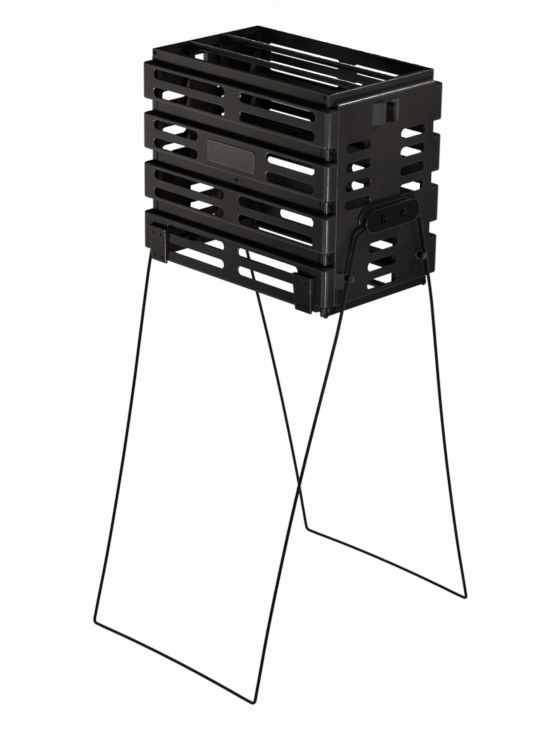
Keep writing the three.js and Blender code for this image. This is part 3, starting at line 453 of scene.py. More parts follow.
def tinted(tree, shader, colour, share):
    """Gives the shader its colour, paler or darker by a share."""
    tint = made_by(tree, "ShaderNodeVectorMath", colour, operation="SCALE", Scale=share)
    tree.links.new(tint, shader.inputs["Base Color"])


def bumped(tree, shader, height, strength, depth):
    """Gives the shader a fine relief."""
    relief = made_by(tree, "ShaderNodeBump", Strength=strength, Distance=depth, Height=height)
    tree.links.new(relief, shader.inputs["Normal"])


def moulded(name, colour, roughness, grain, specular):
    """Moulded black plastic: fine grain, slow change of tone, and marked edges glossy and painted paler,
    partly wear and partly a painted highlight.
    """
    material, tree, shader = new_finish(name)
    shader.inputs["Specular IOR Level"].default_value = specular
    mottle, speck, fine = noises(tree, MOTTLE, SPECK, GRAIN)
    wear_and_painted_light = node_of(tree, "ShaderNodeAttribute", attribute_name="wear_and_painted_light").outputs["Fac"]
    tone = worked(tree, "MULTIPLY", ranged(tree, mottle, MOTTLE_TONES, MIDDLE_NOISE),
                  ranged(tree, speck, SPECK_TONES, HIGH_NOISE))
    # Marked edges are painted paler here: wear, and a painted highlight.
    worn_and_painted_sheen = worked(tree, "MULTIPLY_ADD", worked(tree, "MULTIPLY", wear_and_painted_light, mottle), WEAR_AND_PAINTED_SHEEN_PALER, 1.0)
    tinted(tree, shader, colour, worked(tree, "MULTIPLY", tone, worn_and_painted_sheen))
    polish = ranged(tree, mottle, [roughness + change for change in POLISH_SPREAD], MIDDLE_NOISE)
    buffed = worked(tree, "MULTIPLY_ADD", wear_and_painted_light, -RUB_POLISH * roughness, polish)
    tree.links.new(buffed, shader.inputs["Roughness"])
    bumped(tree, shader, fine, grain, GRAIN_DEPTH)
    return material


def wall_profile(last_end, lowest):
    """Face offset from the rim, inset behind that face and depth below the rim, all round."""
    outside, inside = [], []
    for start in BAND_STARTS:
        end = last_end if start == BAND_STARTS[-1] else start + BAND_HEIGHT
        outside += [(0, -a, start - b) for a, b in rounding(INNER_ROUND, LIP_STEPS)]
        outside += [(BAND_PROUD, b, start + a) for a, b in rounding(BAND_EDGE, EDGE_STEPS)]
        outside += [(BAND_PROUD, a, end - b) for a, b in rounding(BAND_EDGE, EDGE_STEPS)]
        outside += [(0, -b, end + a) for a, b in rounding(INNER_ROUND, LIP_STEPS)]
        inside += [
            (0, WALL, start + WALL), (BAND_PROUD, WALL, start + WALL),
            (BAND_PROUD, WALL, end - WALL), (0, WALL, end - WALL),
        ]
    rim = [(0, b, a) for a, b in rounding(RIM_EDGE, LIP_STEPS)]
    foot = [(0, inset, lowest - rise) for inset, rise in FOOT_EDGE]
    return rim + outside + foot + [(0, WALL, lowest)] + inside[::-1] + [(0, WALL, 0)]


def panel_stations():
    """Where the profile stands: the return on the end, the rounded corner, then the front."""
    at_corner = wall_profile(PROUD_END, BASKET_DEPTH)
    along_front = wall_profile(LAST_BAND_END, PANEL_END)
    rings = [[(HALF_LENGTH + o - i, HALF_WIDTH - RETURN, d) for o, i, d in at_corner]]
    for turn in arc(CORNER_STEPS):
        ring = []
        for offset, inset, depth in at_corner:
            radius = BAND_CORNER if offset > 0 else RIM_CORNER
            ring.append((
                HALF_LENGTH + offset - radius + (radius - inset) * math.cos(turn),
                HALF_WIDTH + offset - radius + (radius - inset) * math.sin(turn), depth,
            ))
        rings.append(ring)
    for from_end, section in ((CORNER_NOTCH, at_corner), (CORNER_NOTCH + NOTCH_STEP, along_front)):
        rings.append([(HALF_LENGTH - from_end, HALF_WIDTH + o - i, d) for o, i, d in section])
    return rings


def turned(piece, turn):
    """A piece turned about the middle of the basket by an angle, or left as it is by 0."""
    if turn:
        piece.data.transform(Matrix.Rotation(turn, 4, "Z"))
    return piece


def panel(name, bracket_places):
    """The front wall, or with no places for brackets and turned half round the back one."""
    at_right = [[(x, -y, RIM_HEIGHT - d) for x, y, d in ring] for ring in panel_stations()]
    at_left = [[(-x, y, z) for x, y, z in ring] for ring in at_right]
    flange_x = (FLANGE_GAP - HALF_LENGTH, HALF_LENGTH - FLANGE_GAP)
    bodies = [
        lofted("shell", at_right + at_left[::-1]),
        block(flange_x, (RIM_EDGE - HALF_WIDTH, TOP_FLANGE - HALF_WIDTH),
              (RIM_HEIGHT - WALL, RIM_HEIGHT)),
        block(flange_x, (MELD - HALF_WIDTH, BOTTOM_FLANGE - HALF_WIDTH),
              (RIM_HEIGHT - PANEL_END, RIM_HEIGHT - PANEL_END + WALL)),
    ]
    tools = []
    face = (-HALF_WIDTH - BAND_PROUD, -HALF_WIDTH - BAND_PROUD + WALL)
    for band, band_start in enumerate(BAND_STARTS):
        last = band == len(BAND_STARTS) - 1
        start = BADGE_SLOT_START if band == BADGE_BAND else SLOT_START
        end = HALF_LENGTH - (LAST_SLOT_END_GAP if last else SLOT_END_GAP)
        for row in SLOT_ROWS:
            z = RIM_HEIGHT - band_start - row - (LAST_ROWS_DROP if last else 0)
            for side in (-1, 1):
                slot = stadium(end - start, LAST_SLOT_HEIGHT if last else SLOT_HEIGHT)
                slot = shifted(slot, side * (start + end) / 2, z)
                tools.append(mouth_tool("y", *face, slot))
    socket_end = -HALF_WIDTH + SCREW_REACH + SEAM
    for side in (-1, 1):
        wall_x = sorted((side * (HALF_LENGTH - WALL), side * HALF_LENGTH))
        hole_x = sorted((side * (HALF_LENGTH - WALL - OVERRUN), side * (HALF_LENGTH + OVERRUN)))
        ear_z = RIM_HEIGHT - CORNER_SCREW_DEPTHS[-1]
        bodies.append(bar("x", EAR, wall_x, (-CORNER_SCREW_Y, ear_z), EAR_SIDES))
        for depth in CORNER_SCREW_DEPTHS:
            tools.append(bar("x", HOLE, hole_x, (-CORNER_SCREW_Y, RIM_HEIGHT - depth)))
        tools.append(bar("y", HOLE, (-HALF_WIDTH - OVERRUN, -HALF_WIDTH + WALL + OVERRUN),
                         (side * RIM_SCREW_X, RIM_SCREW_Z)))
        groove_x = sorted((side * (HALF_LENGTH - GROOVE_START),
                           side * (HALF_LENGTH - GROOVE_START - GROOVE_WIDTH)))
        for above, below in zip(BAND_STARTS, BAND_STARTS[1:]):
            tools.append(block(
                groove_x, (-HALF_WIDTH - INNER_ROUND, -HALF_WIDTH + GROOVE_DEEP),
                (RIM_HEIGHT - below + INNER_ROUND, RIM_HEIGHT - above - BAND_HEIGHT - INNER_ROUND),
            ))
    middle = (0, MIDDLE_SCREW_Z)
    bodies.append(bar("y", HOLE + SOCKET_WALL,
                      (-HALF_WIDTH + WALL - MELD, socket_end + WALL), middle, SOCKET_SIDES))
    tools.append(bar("y", HOLE, (-HALF_WIDTH - OVERRUN, socket_end), middle))
    for x, depth in bracket_places:
        y = -HALF_WIDTH - BAND_PROUD
        tools.append(bar("y", SMALL_HOLE, (y - OVERRUN, y + WALL + OVERRUN),
                         (x, RIM_HEIGHT - depth), SMALL_BORE_SIDES))
    return machined(name, bodies, tools)


bracket_places = [
    (side * BRACKET_MIDDLE + way * BRACKET_HOLE_SPREAD, depth)
    for side in (-1, 1) for depth in BRACKET_HOLE_DEPTHS for way in (-1, 1)
]
shell_plastic = (
    moulded("shell_plastic", SHELL_COLOUR, roughness=0.34, grain=0.4, specular=0.0),
    moulded("shell_plastic_rubbed", SHELL_COLOUR, roughness=0.24, grain=0.2, specular=0.17),
)
finished(panel("front_wall", bracket_places), shell_plastic, "basket",
         ["front_panel"])
finished(turned(panel("back_wall", []), math.pi), shell_plastic, "basket",
         ["back_panel"])


# End panels. One black plastic moulding is used at both ends. It has a slotted raised face, a pivot
# boss, a catch and window for the raised legs and a ramp for the lowered leg, and inside it ribs,
# corner posts that take the screws, sockets and rod cradles.
ENDS = (("right", 0), ("left", math.pi))
FACE = HALF_LENGTH + BAND_PROUD
INNER_FACE = HALF_LENGTH - WALL
POST_FACE = INNER_FACE - SEAM
END_HALF = HALF_WIDTH - RETURN - SEAM
END_EDGE = 5 * MM
END_RIDGE = 1.5 * MM
END_PROUD_START = 13.4 * MM
END_SIDE_ROUND = 0.9 * MM
END_FOOT_EDGE = 0.8 * MM
END_SLOT = (34 * MM, 90 * MM)
END_ROW_DEPTHS = (87.2 * MM, 117.2 * MM, 147.2 * MM, 177.2 * MM)
CENTRE_SLOT_REACH = 33.5 * MM
CENTRE_ROW_DEPTHS = (257.5 * MM, 287.5 * MM, 317.5 * MM)
PIVOT_Z = RIM_HEIGHT - 206.5 * MM
PIVOT_OFFSET = 34 * MM
PIN_BORE_END = 195.3 * MM
PIN_BORE = 3.05 * MM
BOSS_LENGTH = 122 * MM
BOSS_WIDTH = 37 * MM
BOSS_PROUD = 4 * MM
BOSS_ROUND = 1.1 * MM
BOSS_STEPS = 24
PLATE_SCREW_OFFSET = 21.7 * MM
PEG_OFFSET = 83 * MM
PEG_Z = RIM_HEIGHT - 292 * MM
PEG_BORE = 3.3 * MM
PEG_SHANK_LENGTH = 6.5 * MM
CATCH_DEPTH = 26.5 * MM
CATCH_END_DEPTH = 60.5 * MM
WEDGE = ((-33 * MM, 0), (-18 * MM, 8 * MM), (-12.5 * MM, 8 * MM))
WINDOW_Y = (-12.5 * MM, 16 * MM)
WINDOW_DEPTHS = (30 * MM, 61.6 * MM)
HOOK_PROUD = 3.4 * MM
HOOK_WIDTH = 6 * MM
HOOK_ARM = 12 * MM
RAMP = ((-105.8 * MM, 0), (-97.6 * MM, 9 * MM), (-95.6 * MM, 9 * MM))
RAMP_DEPTHS = (280 * MM, 306 * MM)
SMALL_ROUND = 0.5 * MM
POST_DEPTH = 7.6 * MM
POST_WIDTH = 10 * MM
POST_CHAMFER = 1.6 * MM
RIB_OFFSET = 35.2 * MM
RIB_THICKNESS = 2 * MM
RIB_HEIGHT = 9 * MM
LIP_TOP = 0.2 * MM
LIP_DEPTH = 10 * MM
LIP_START = 75 * MM
TOP_ROD = 5 * MM
TOP_ROD_OFFSET = 38.75 * MM
TOP_ROD_Z = RIM_HEIGHT - 5.5 * MM
BOTTOM_ROD = 6 * MM
BOTTOM_ROD_OFFSET = 37.8 * MM
BOTTOM_ROD_Z = RIM_HEIGHT - 342.8 * MM
CRADLE_WALL = 2.6 * MM
CRADLE_LENGTH = 8 * MM
CRADLE_MOUTH = 3 * MM


def rounded_prism(axis, shape, span, low=SMALL_ROUND, high=SMALL_ROUND):
    """An outline pushed along an axis, with the edges of its two ends rounded."""
    start, end = span
    rings = [(start + b, a) for a, b in rounding(low, LIP_STEPS)][::-1] if low else [(start, 0)]
    rings += [(end - b, a) for a, b in rounding(high, LIP_STEPS)] if high else [(end, 0)]
    return lofted("prism", [on_axis(axis, place, set_in(shape, inward)) for place, inward in rings])


def end_face():
    """The folded sheet of an end, its upright edges rounded where they meet the wrapped bands."""
    inner_round = rounding(INNER_ROUND, LIP_STEPS)
    outer = [(HALF_LENGTH - b, a) for a, b in rounding(RIM_EDGE, LIP_STEPS)]
    outer += [(HALF_LENGTH + a, END_PROUD_START - b) for a, b in inner_round]
    outer += [(FACE - b, END_PROUD_START + a) for a, b in rounding(END_EDGE, EDGE_STEPS + 1)]
    outer += [(FACE - a, PROUD_END - b) for a, b in rounding(END_RIDGE, LIP_STEPS)]
    outer += [(HALF_LENGTH + b, PROUD_END + a) for a, b in inner_round]
    outer += [(HALF_LENGTH, BASKET_DEPTH - END_FOOT_EDGE), (HALF_LENGTH - END_FOOT_EDGE, BASKET_DEPTH)]
    inner = [
        (INNER_FACE, BASKET_DEPTH), (INNER_FACE, PROUD_END - WALL), (FACE - WALL, PROUD_END - WALL),
        (FACE - WALL, END_PROUD_START + WALL), (INNER_FACE, END_PROUD_START + WALL), (INNER_FACE, 0),
    ]
    levels = [(END_HALF - b, a) for a, b in rounding(END_SIDE_ROUND, LIP_STEPS)]
    rings = []
    for y, sink in [(-y, sink) for y, sink in levels[::-1]] + levels:
        ring = [(x - sink, y, RIM_HEIGHT - depth) for x, depth in outer]
        rings.append(ring + [(x, y, RIM_HEIGHT - depth) for x, depth in inner])
    return lofted("end_face", rings)


def to_side(side, near, far):
    """Two places across the basket, lowest first, on the side that is given."""
    return (near, far) if side > 0 else (-far, -near)


def deep(*depths):
    """Heights of two depths below the rim, lowest first."""
    return tuple(sorted(RIM_HEIGHT - depth for depth in depths))


def end_side(side):
    """What one side of an end panel has behind its face."""
    inner = POST_FACE - POST_DEPTH
    outer = HALF_WIDTH - WALL - SEAM
    behind = FACE - WALL + MELD
    wall_y = to_side(side, END_HALF - WALL, END_HALF - SEAM)
    flange_x = (HALF_LENGTH - TOP_FLANGE, INNER_FACE + MELD)
    rib = to_side(side, RIB_OFFSET - RIB_THICKNESS / 2, RIB_OFFSET + RIB_THICKNESS / 2)
    cradle_x = (INNER_FACE - CRADLE_LENGTH, INNER_FACE + MELD)
    face_depths = deep(END_PROUD_START + WALL - MELD, PROUD_END - WALL + MELD)
    post = [
        (inner, side * (outer - POST_WIDTH)), (POST_FACE, side * (outer - POST_WIDTH)),
        (POST_FACE, side * (outer - POST_CHAMFER)), (POST_FACE - POST_CHAMFER, side * outer),
        (inner, side * outer),
    ]
    blocks = [
        block((inner, INNER_FACE + MELD), wall_y, deep(MELD, BASKET_DEPTH - SEAM)),
        block((INNER_FACE, behind), wall_y, face_depths),
        lofted("post", [on_axis("z", z, post) for z in deep(WALL + SEAM, BASKET_DEPTH - SEAM)]),
        block(flange_x, to_side(side, TOP_ROD_OFFSET, END_HALF - SEAM), deep(0, WALL)),
        block((flange_x[0], flange_x[0] + RIB_THICKNESS),
              to_side(side, LIP_START, END_HALF - WALL + MELD), deep(LIP_TOP, LIP_DEPTH)),
        block((FACE - WALL - RIB_HEIGHT, behind), rib, face_depths),
    ]
    sockets = [
        (TOP_ROD + CRADLE_WALL, cradle_x, TOP_ROD_OFFSET, TOP_ROD_Z),
        (BOTTOM_ROD + CRADLE_WALL, cradle_x, BOTTOM_ROD_OFFSET, BOTTOM_ROD_Z),
        (PIN_BORE + SOCKET_WALL, (PIN_BORE_END - WALL, behind), PIVOT_OFFSET, PIVOT_Z),
        (HOLE + SOCKET_WALL, (FACE - SCREW_REACH - SEAM, behind), PLATE_SCREW_OFFSET, PIVOT_Z),
        (PEG_BORE + SOCKET_WALL, (FACE - PEG_SHANK_LENGTH, behind), PEG_OFFSET, PEG_Z),
    ]
    return blocks + [bar("x", radius, span, (side * across, z), SOCKET_SIDES)
                     for radius, span, across, z in sockets]


def end_bores(side):
    """What is drilled and cut from one side of an end panel."""
    out = FACE + BOSS_PROUD + OVERRUN
    corner_x = (POST_FACE - POST_DEPTH - OVERRUN, POST_FACE + OVERRUN)
    bore_x = (INNER_FACE - CRADLE_LENGTH - OVERRUN, INNER_FACE)
    mouth_y = (side * TOP_ROD_OFFSET - CRADLE_MOUTH, side * TOP_ROD_OFFSET + CRADLE_MOUTH)
    tools = [
        bar("x", PIN_BORE, (PIN_BORE_END, out), (side * PIVOT_OFFSET, PIVOT_Z)),
        bar("x", HOLE, (FACE - SCREW_REACH - OVERRUN, out), (side * PLATE_SCREW_OFFSET, PIVOT_Z)),
        bar("x", PEG_BORE, (FACE - PEG_SHANK_LENGTH - OVERRUN, out),
            (side * PEG_OFFSET, PEG_Z)),
        bar("y", HOLE, to_side(side, END_HALF - WALL - OVERRUN, HALF_WIDTH),
            (RIM_SCREW_X, RIM_SCREW_Z)),
        bar("x", EAR + SEAM, (POST_FACE, HALF_LENGTH + OVERRUN),
            (side * CORNER_SCREW_Y, RIM_HEIGHT - CORNER_SCREW_DEPTHS[-1]), EAR_SIDES),
        bar("x", TOP_ROD + SEAM, bore_x, (side * TOP_ROD_OFFSET, TOP_ROD_Z), SOCKET_SIDES),
        bar("x", BOTTOM_ROD + SEAM, bore_x,
            (side * BOTTOM_ROD_OFFSET, BOTTOM_ROD_Z), SOCKET_SIDES),
        block(bore_x, mouth_y, (TOP_ROD_Z, RIM_HEIGHT + OVERRUN)),
        block((bore_x[0], HALF_LENGTH + OVERRUN), to_side(side, 0, HALF_WIDTH),
              (RIM_HEIGHT, RIM_HEIGHT + 2 * OVERRUN)),
    ]
    return tools + [
        bar("x", HOLE, corner_x, (side * CORNER_SCREW_Y, RIM_HEIGHT - depth), SMALL_BORE_SIDES)
        for depth in CORNER_SCREW_DEPTHS
    ]


def end_panel(name):
    """The right end, or turned half round the left one. Its catch and ramp are marked as worn, which also
    paints them paler as a painted highlight.
    """
    seat = FACE - MELD
    boss = shifted(stadium(BOSS_LENGTH, BOSS_WIDTH, BOSS_STEPS), 0, PIVOT_Z)
    bodies = [end_face(), rounded_prism("x", boss, (seat, FACE + BOSS_PROUD), 0, BOSS_ROUND)]
    for shape, depths in ((WEDGE, (CATCH_DEPTH, CATCH_END_DEPTH)), (RAMP, RAMP_DEPTHS)):
        (start, _), (top_start, proud), (end, _) = shape
        points = [(seat, start), (FACE, start), (FACE + proud, top_start),
                  (FACE + proud, end), (seat, end)]
        bodies.append(rounded_prism("z", points, deep(*depths)))
    hook_x = (seat, FACE + HOOK_PROUD)
    hook_y = (WINDOW_Y[1], WINDOW_Y[1] + HOOK_WIDTH)
    arm_y = (WINDOW_Y[1] - HOOK_ARM, WINDOW_Y[1] + MELD)
    for y, depths in ((hook_y, (CATCH_DEPTH, CATCH_END_DEPTH)), (arm_y, (CATCH_DEPTH, WINDOW_DEPTHS[0]))):
        low_z, high_z = deep(*depths)
        shape = [(y[0], low_z), (y[1], low_z), (y[1], high_z), (y[0], high_z)]
        bodies.append(rounded_prism("x", shape, hook_x, 0))
    tools = []
    for side in (-1, 1):
        bodies += end_side(side)
        tools += end_bores(side)
    piece = machined(name, bodies, tools)
    slots = []
    for depth in END_ROW_DEPTHS:
        shape = stadium(END_SLOT[1] - END_SLOT[0], SLOT_HEIGHT)
        slots += [mouth_tool("x", FACE, FACE - WALL,
                             shifted(shape, side * sum(END_SLOT) / 2, RIM_HEIGHT - depth))
                  for side in (-1, 1)]
    for depth in CENTRE_ROW_DEPTHS:
        shape = stadium(2 * CENTRE_SLOT_REACH, SLOT_HEIGHT)
        slots.append(mouth_tool("x", FACE, FACE - WALL, shifted(shape, 0, RIM_HEIGHT - depth)))
    low_z, high_z = deep(*WINDOW_DEPTHS)
    slots.append(block((INNER_FACE - OVERRUN, FACE + OVERRUN), WINDOW_Y, (low_z, high_z)))
    piece = machined(name, [piece], slots)
    # Everything proud of the face but the boss is marked, and so painted paler: wear, and a painted
    # highlight.
    wear_and_painted_light = piece.data.attributes.new("wear_and_painted_light", "FLOAT", "FACE")
    for face, mark in zip(piece.data.polygons, wear_and_painted_light.data):
        away = abs(PIVOT_Z - face.center.z) > BOSS_WIDTH / 2 + MELD
        mark.value = 1 if away and face.center.x > FACE + MELD else 0
    return piece


for side, turn in ENDS:
    finished(turned(end_panel(f"{side}_end_wall"), turn), shell_plastic, "basket",
             [f"{side}_end_panel"])

# Rods. Two round steel rods lie across the mouth and two thicker ones across the bottom, where a
# ball squeezes in between them. They are cut to length, coated black and held in the end panels.
ROD_END = 191.7 * MM
ROD_SIDES = 32
ROD_CHAMFER = 0.5 * MM
ROD_COLOUR = (0.005, 0.005, 0.005)
ROD_ROUGHNESS = 0.24
ROD_WEAR_HEIGHT = 0.001 * MM
COAT_SHINE = 0.07
PEEL = (520.0, 2.0, 0.5)
PATCHES = (34.0, 3.0, 0.6)
SCUFFS = (190.0, 4.0, 0.7)
FOOT_WEAR = 0.16
WORN_NOISE = (0.66, 0.78)
WORN_COLOUR = (0.055, 0.053, 0.05, 1)
PATCH_NOISE = (0.35, 0.7)
PATCH_ROUGHER = 0.14
PEEL_STRENGTH = 0.25
PEEL_DEPTH = 0.05 * MM
PLAIN_INPUT, WORN_INPUT, COLOUR_OUTPUT = 6, 7, 2


def node_group(name, *entries):
    """A Geometry Nodes group with named inputs: its tree, its inputs and its result."""
    tree = bpy.data.node_groups.new(name, "GeometryNodeTree")
    for entry, kind in entries:
        tree.interface.new_socket(entry, in_out="INPUT", socket_type=f"NodeSocket{kind}")
    tree.interface.new_socket("Made", in_out="OUTPUT", socket_type="NodeSocketGeometry")
    return tree, tree.nodes.new("NodeGroupInput").outputs, tree.nodes.new("NodeGroupOutput").inputs[0]


def mark_of(tree, name, kind="FLOAT"):
    """A mark that the points carry."""
    return made_by(tree, "GeometryNodeInputNamedAttribute", data_type=kind, Name=name)


def wire_nodes():
    """Nodes that sweep a round section along lines of points, each bend with its own radius."""
    tree, given, result = node_group(
        "bent_wire", ("Path", "Geometry"), ("Wire Radius", "Float"), ("Sides", "Int"),
        ("Bend Steps", "Int"), ("Finish", "Material"))
    line = made_by(tree, "GeometryNodeMeshToCurve", given["Path"])
    bent = made_by(tree, "GeometryNodeFilletCurve", line, mode="POLY", Radius=mark_of(tree, "bend"),
                   Limit_Radius=True, Count=given["Bend Steps"])
    section = made_by(tree, "GeometryNodeCurvePrimitiveCircle", Radius=given["Wire Radius"],
                      Resolution=given["Sides"])
    wire = made_by(tree, "GeometryNodeCurveToMesh", bent, section, Fill_Caps=True,
                   Scale=mark_of(tree, "thickness"))
    real = made_by(tree, "GeometryNodeRealizeInstances", wire)
    coated_wire = made_by(tree, "GeometryNodeSetMaterial", real, Material=given["Finish"])
    tree.links.new(coated_wire, result)
    return tree


def grown(name, tree, points, edges, marks, sizes):
    """A plain mesh object made by a node tree from points, their named marks and the sizes."""
    seed_mesh = bpy.data.meshes.new(name)
    seed_mesh.from_pydata([tuple(p) for p in points], edges, [])
    for mark, (kind, values) in marks.items():
        layer = seed_mesh.attributes.new(mark, kind, "POINT")
        field = "vector" if kind == "FLOAT_VECTOR" else "value"
        for item, value in zip(layer.data, values):
            setattr(item, field, value)
    carrier = bpy.data.objects.new("carrier", seed_mesh)
    scene.collection.objects.link(carrier)
    step = carrier.modifiers.new("nodes", "NODES")
    step.node_group = tree
    for socket in tree.interface.items_tree:
        if socket.in_out == "INPUT" and socket.name in sizes:
            step[socket.identifier] = sizes[socket.name]
    graph = bpy.context.evaluated_depsgraph_get()
    mesh = bpy.data.meshes.new_from_object(carrier.evaluated_get(graph))
    bpy.data.objects.remove(carrier)
    mesh.name = name
    for mark in marks:
        if mark in mesh.attributes:
            mesh.attributes.remove(mesh.attributes[mark])
    piece = bpy.data.objects.new(name, mesh)
    scene.collection.objects.link(piece)
    return piece


def wires(name, lines, radius, sides, bend_steps, finish):
    """Wire through lines of (point, bend radius), with its ends eased."""
    points, bends, widths, edges = [], [], [], []
    for line in lines:
        (first, second), (before, last) = line[:2], line[-2:]
        eased_line = []
        for end, inner in ((first[0], second[0]), (last[0], before[0])):
            way = (Vector(inner) - Vector(end)).normalized()
            eased_line.append([(Vector(end), 1 - ROD_CHAMFER / radius),
                               (Vector(end) + way * ROD_CHAMFER, 1.0)])
        whole = [(p, 0, w) for p, w in eased_line[0]]
        whole += [(Vector(p), bend, 1.0) for p, bend in line[1:-1]]
        whole += [(p, 0, w) for p, w in eased_line[1][::-1]]
        start = len(points)
        edges += [(start + i, start + i + 1) for i in range(len(whole) - 1)]
        points += [p for p, _, _ in whole]
        bends += [bend for _, bend, _ in whole]
        widths += [w for _, _, w in whole]
    marks = {"bend": ("FLOAT", bends), "thickness": ("FLOAT", widths)}
    return grown(name, bent_wire, points, edges, marks, {
        "Wire Radius": radius, "Sides": sides, "Bend Steps": bend_steps, "Finish": finish,
    })


def coated(name, colour, roughness, worn_up_to):
    """Black coating baked on steel: faint orange peel, dull patches, and rubbed low on the feet."""
    material, tree, shader = new_finish(name)
    shader.inputs["Specular IOR Level"].default_value = COAT_SHINE
    peel, patch, scuff = noises(tree, PEEL, PATCHES, SCUFFS)
    where = tree.nodes.new("ShaderNodeTexCoord").outputs["Object"]
    height = node_of(tree, "ShaderNodeSeparateXYZ", where).outputs["Z"]
    low = ranged(tree, height, (FOOT_WEAR, 0.0), (0.0, worn_up_to))
    worn = ranged(tree, worked(tree, "ADD", scuff, low), (0.0, 1.0), WORN_NOISE)
    tone = node_of(tree, "ShaderNodeMix", worn, data_type="RGBA")
    tone.inputs[PLAIN_INPUT].default_value = (*colour, 1)
    tone.inputs[WORN_INPUT].default_value = WORN_COLOUR
    tree.links.new(tone.outputs[COLOUR_OUTPUT], shader.inputs["Base Color"])
    polish = ranged(tree, patch, (roughness, roughness + PATCH_ROUGHER), PATCH_NOISE)
    tree.links.new(polish, shader.inputs["Roughness"])
    bumped(tree, shader, peel, PEEL_STRENGTH, PEEL_DEPTH)
    return material


bent_wire = wire_nodes()
rod_coat = coated("rod_coat", ROD_COLOUR, ROD_ROUGHNESS, ROD_WEAR_HEIGHT)
for where, radius, offset, z in (("top", TOP_ROD, TOP_ROD_OFFSET, TOP_ROD_Z),
                                 ("bottom", BOTTOM_ROD, BOTTOM_ROD_OFFSET, BOTTOM_ROD_Z)):
    pair = wires(f"{where}_rods", [
        [((-ROD_END, y, z), 0), ((0, y, z), 0), ((ROD_END, y, z), 0)] for y in (-offset, offset)
    ], radius, ROD_SIDES, 1, rod_coat)
    finished(pair, [rod_coat] * 2, "basket", [f"{where}_rod_front", f"{where}_rod_back"])

# Legs. Each leg is one length of coated steel wire, bent cold: a pin turned in at each pivot, a
# short arm out over the shoulder, a bowed run down to the foot and a crossbar that arches a little.
# The pins turn in the end panels, so that a leg folds up over the mouth as a handle.
WIRE = 2.75 * MM
WIRE_X = 215.95 * MM
LEG_SHIFT = 2.9 * MM
PIN_END = 198.5 * MM
PIN_BEND = 3.05 * MM
SHOULDER_OFFSET = 75.5 * MM
SHOULDER_DEPTH = 226 * MM
SHOULDER_BEND = 12 * MM
FOOT_X = 194.1 * MM
FOOT_OFFSET = 262.6 * MM
FOOT_BEND = 14 * MM
CROSSBAR_RISE = 5 * MM
BOW_SHARES = (
    (0, 0), (0.169, 0.03), (0.25, 0.175), (0.341, 0.403), (0.466, 0.708), (0.593, 0.927),
    (0.679, 1.018), (0.767, 1.077), (0.855, 1.091), (0.947, 1.027), (1, 1),
)
BOW_SPLIT = 4
CROSSBAR_STEPS = 24
WIRE_SIDES = 20
WIRE_BEND_STEPS = 10
WIRE_COLOUR = (0.006, 0.0055, 0.0055)
WIRE_ROUGHNESS = 0.2
FOOT_WEAR_HEIGHT = 30 * MM


def bow_points():
    """The bow from shoulder to foot as a smooth curve through its shares."""
    whole = [BOW_SHARES[0], *BOW_SHARES, BOW_SHARES[-1]]
    points = []
    for a, b, c, d in zip(whole, whole[1:], whole[2:], whole[3:]):
        for step in range(BOW_SPLIT):
            t = step / BOW_SPLIT
            points.append(tuple(
                q + 0.5 * t * (r - p + t * (2 * p - 5 * q + 4 * r - s + t * (3 * (q - r) + s - p)))
                for p, q, r, s in zip(a, b, c, d)
            ))
    return points


def leg_line():
    """The front leg's line of points and bend radii, from its right pin round to its left one."""
    foot_z = WIRE
    shoulder_z = RIM_HEIGHT - SHOULDER_DEPTH
    right_side = [((PIN_END, -PIVOT_OFFSET, PIVOT_Z), 0),
                  ((WIRE_X, -PIVOT_OFFSET, PIVOT_Z), PIN_BEND)]
    for i, (along, draw) in enumerate(bow_points()):
        point = (
            WIRE_X + (FOOT_X - WIRE_X) * draw,
            -SHOULDER_OFFSET - (FOOT_OFFSET - SHOULDER_OFFSET) * along,
            shoulder_z + (foot_z - shoulder_z) * along,
        )
        right_side.append((point, SHOULDER_BEND if i == 0 else 0))
    right_side.append(((FOOT_X, -FOOT_OFFSET, foot_z), FOOT_BEND))
    inner = FOOT_X - FOOT_BEND
    shares = [1 - 2 * i / CROSSBAR_STEPS for i in range(CROSSBAR_STEPS + 1)]
    across = [((inner * s, -FOOT_OFFSET, foot_z + CROSSBAR_RISE * (1 - s * s)), 0) for s in shares]
    left_side = [((-x, y, z), bend) for (x, y, z), bend in right_side[::-1]]
    whole = [*right_side, *across[1:-1], *left_side]
    return [((x + LEG_SHIFT, y, z), bend) for (x, y, z), bend in whole]


wire_coat = coated("wire_coat", WIRE_COLOUR, WIRE_ROUGHNESS, FOOT_WEAR_HEIGHT)
for name, turn in (("front_leg", 0), ("back_leg", math.pi)):
    leg = wires(f"{name}_wire", [leg_line()], WIRE, WIRE_SIDES, WIRE_BEND_STEPS, wire_coat)
    finished(turned(leg, turn), [wire_coat] * 2, name, [name])

# Pivot plates. A glossy plate of moulded black plastic at each end keeps both wires in their pivots.
# Two posts on its back stand on the panel's boss, and a screw goes through each from a round recess.
PLATE_X = 221.9 * MM
PLATE_THICKNESS = 3 * MM
PLATE_EDGE = 0.7 * MM
PLATE_POST = 4.5 * MM
PLATE_RECESS = 7 * MM
PLATE_RECESS_DEPTH = 1.8 * MM
RECESS_FLARE = 0.5 * MM
RECESS_SIDES = 48
PLATE_STEPS = 28
PLATE_FLAT = 0.97
PLATE_UPWARD = 0.3
PLATE_COLOUR = (0.0022, 0.0017, 0.0016)


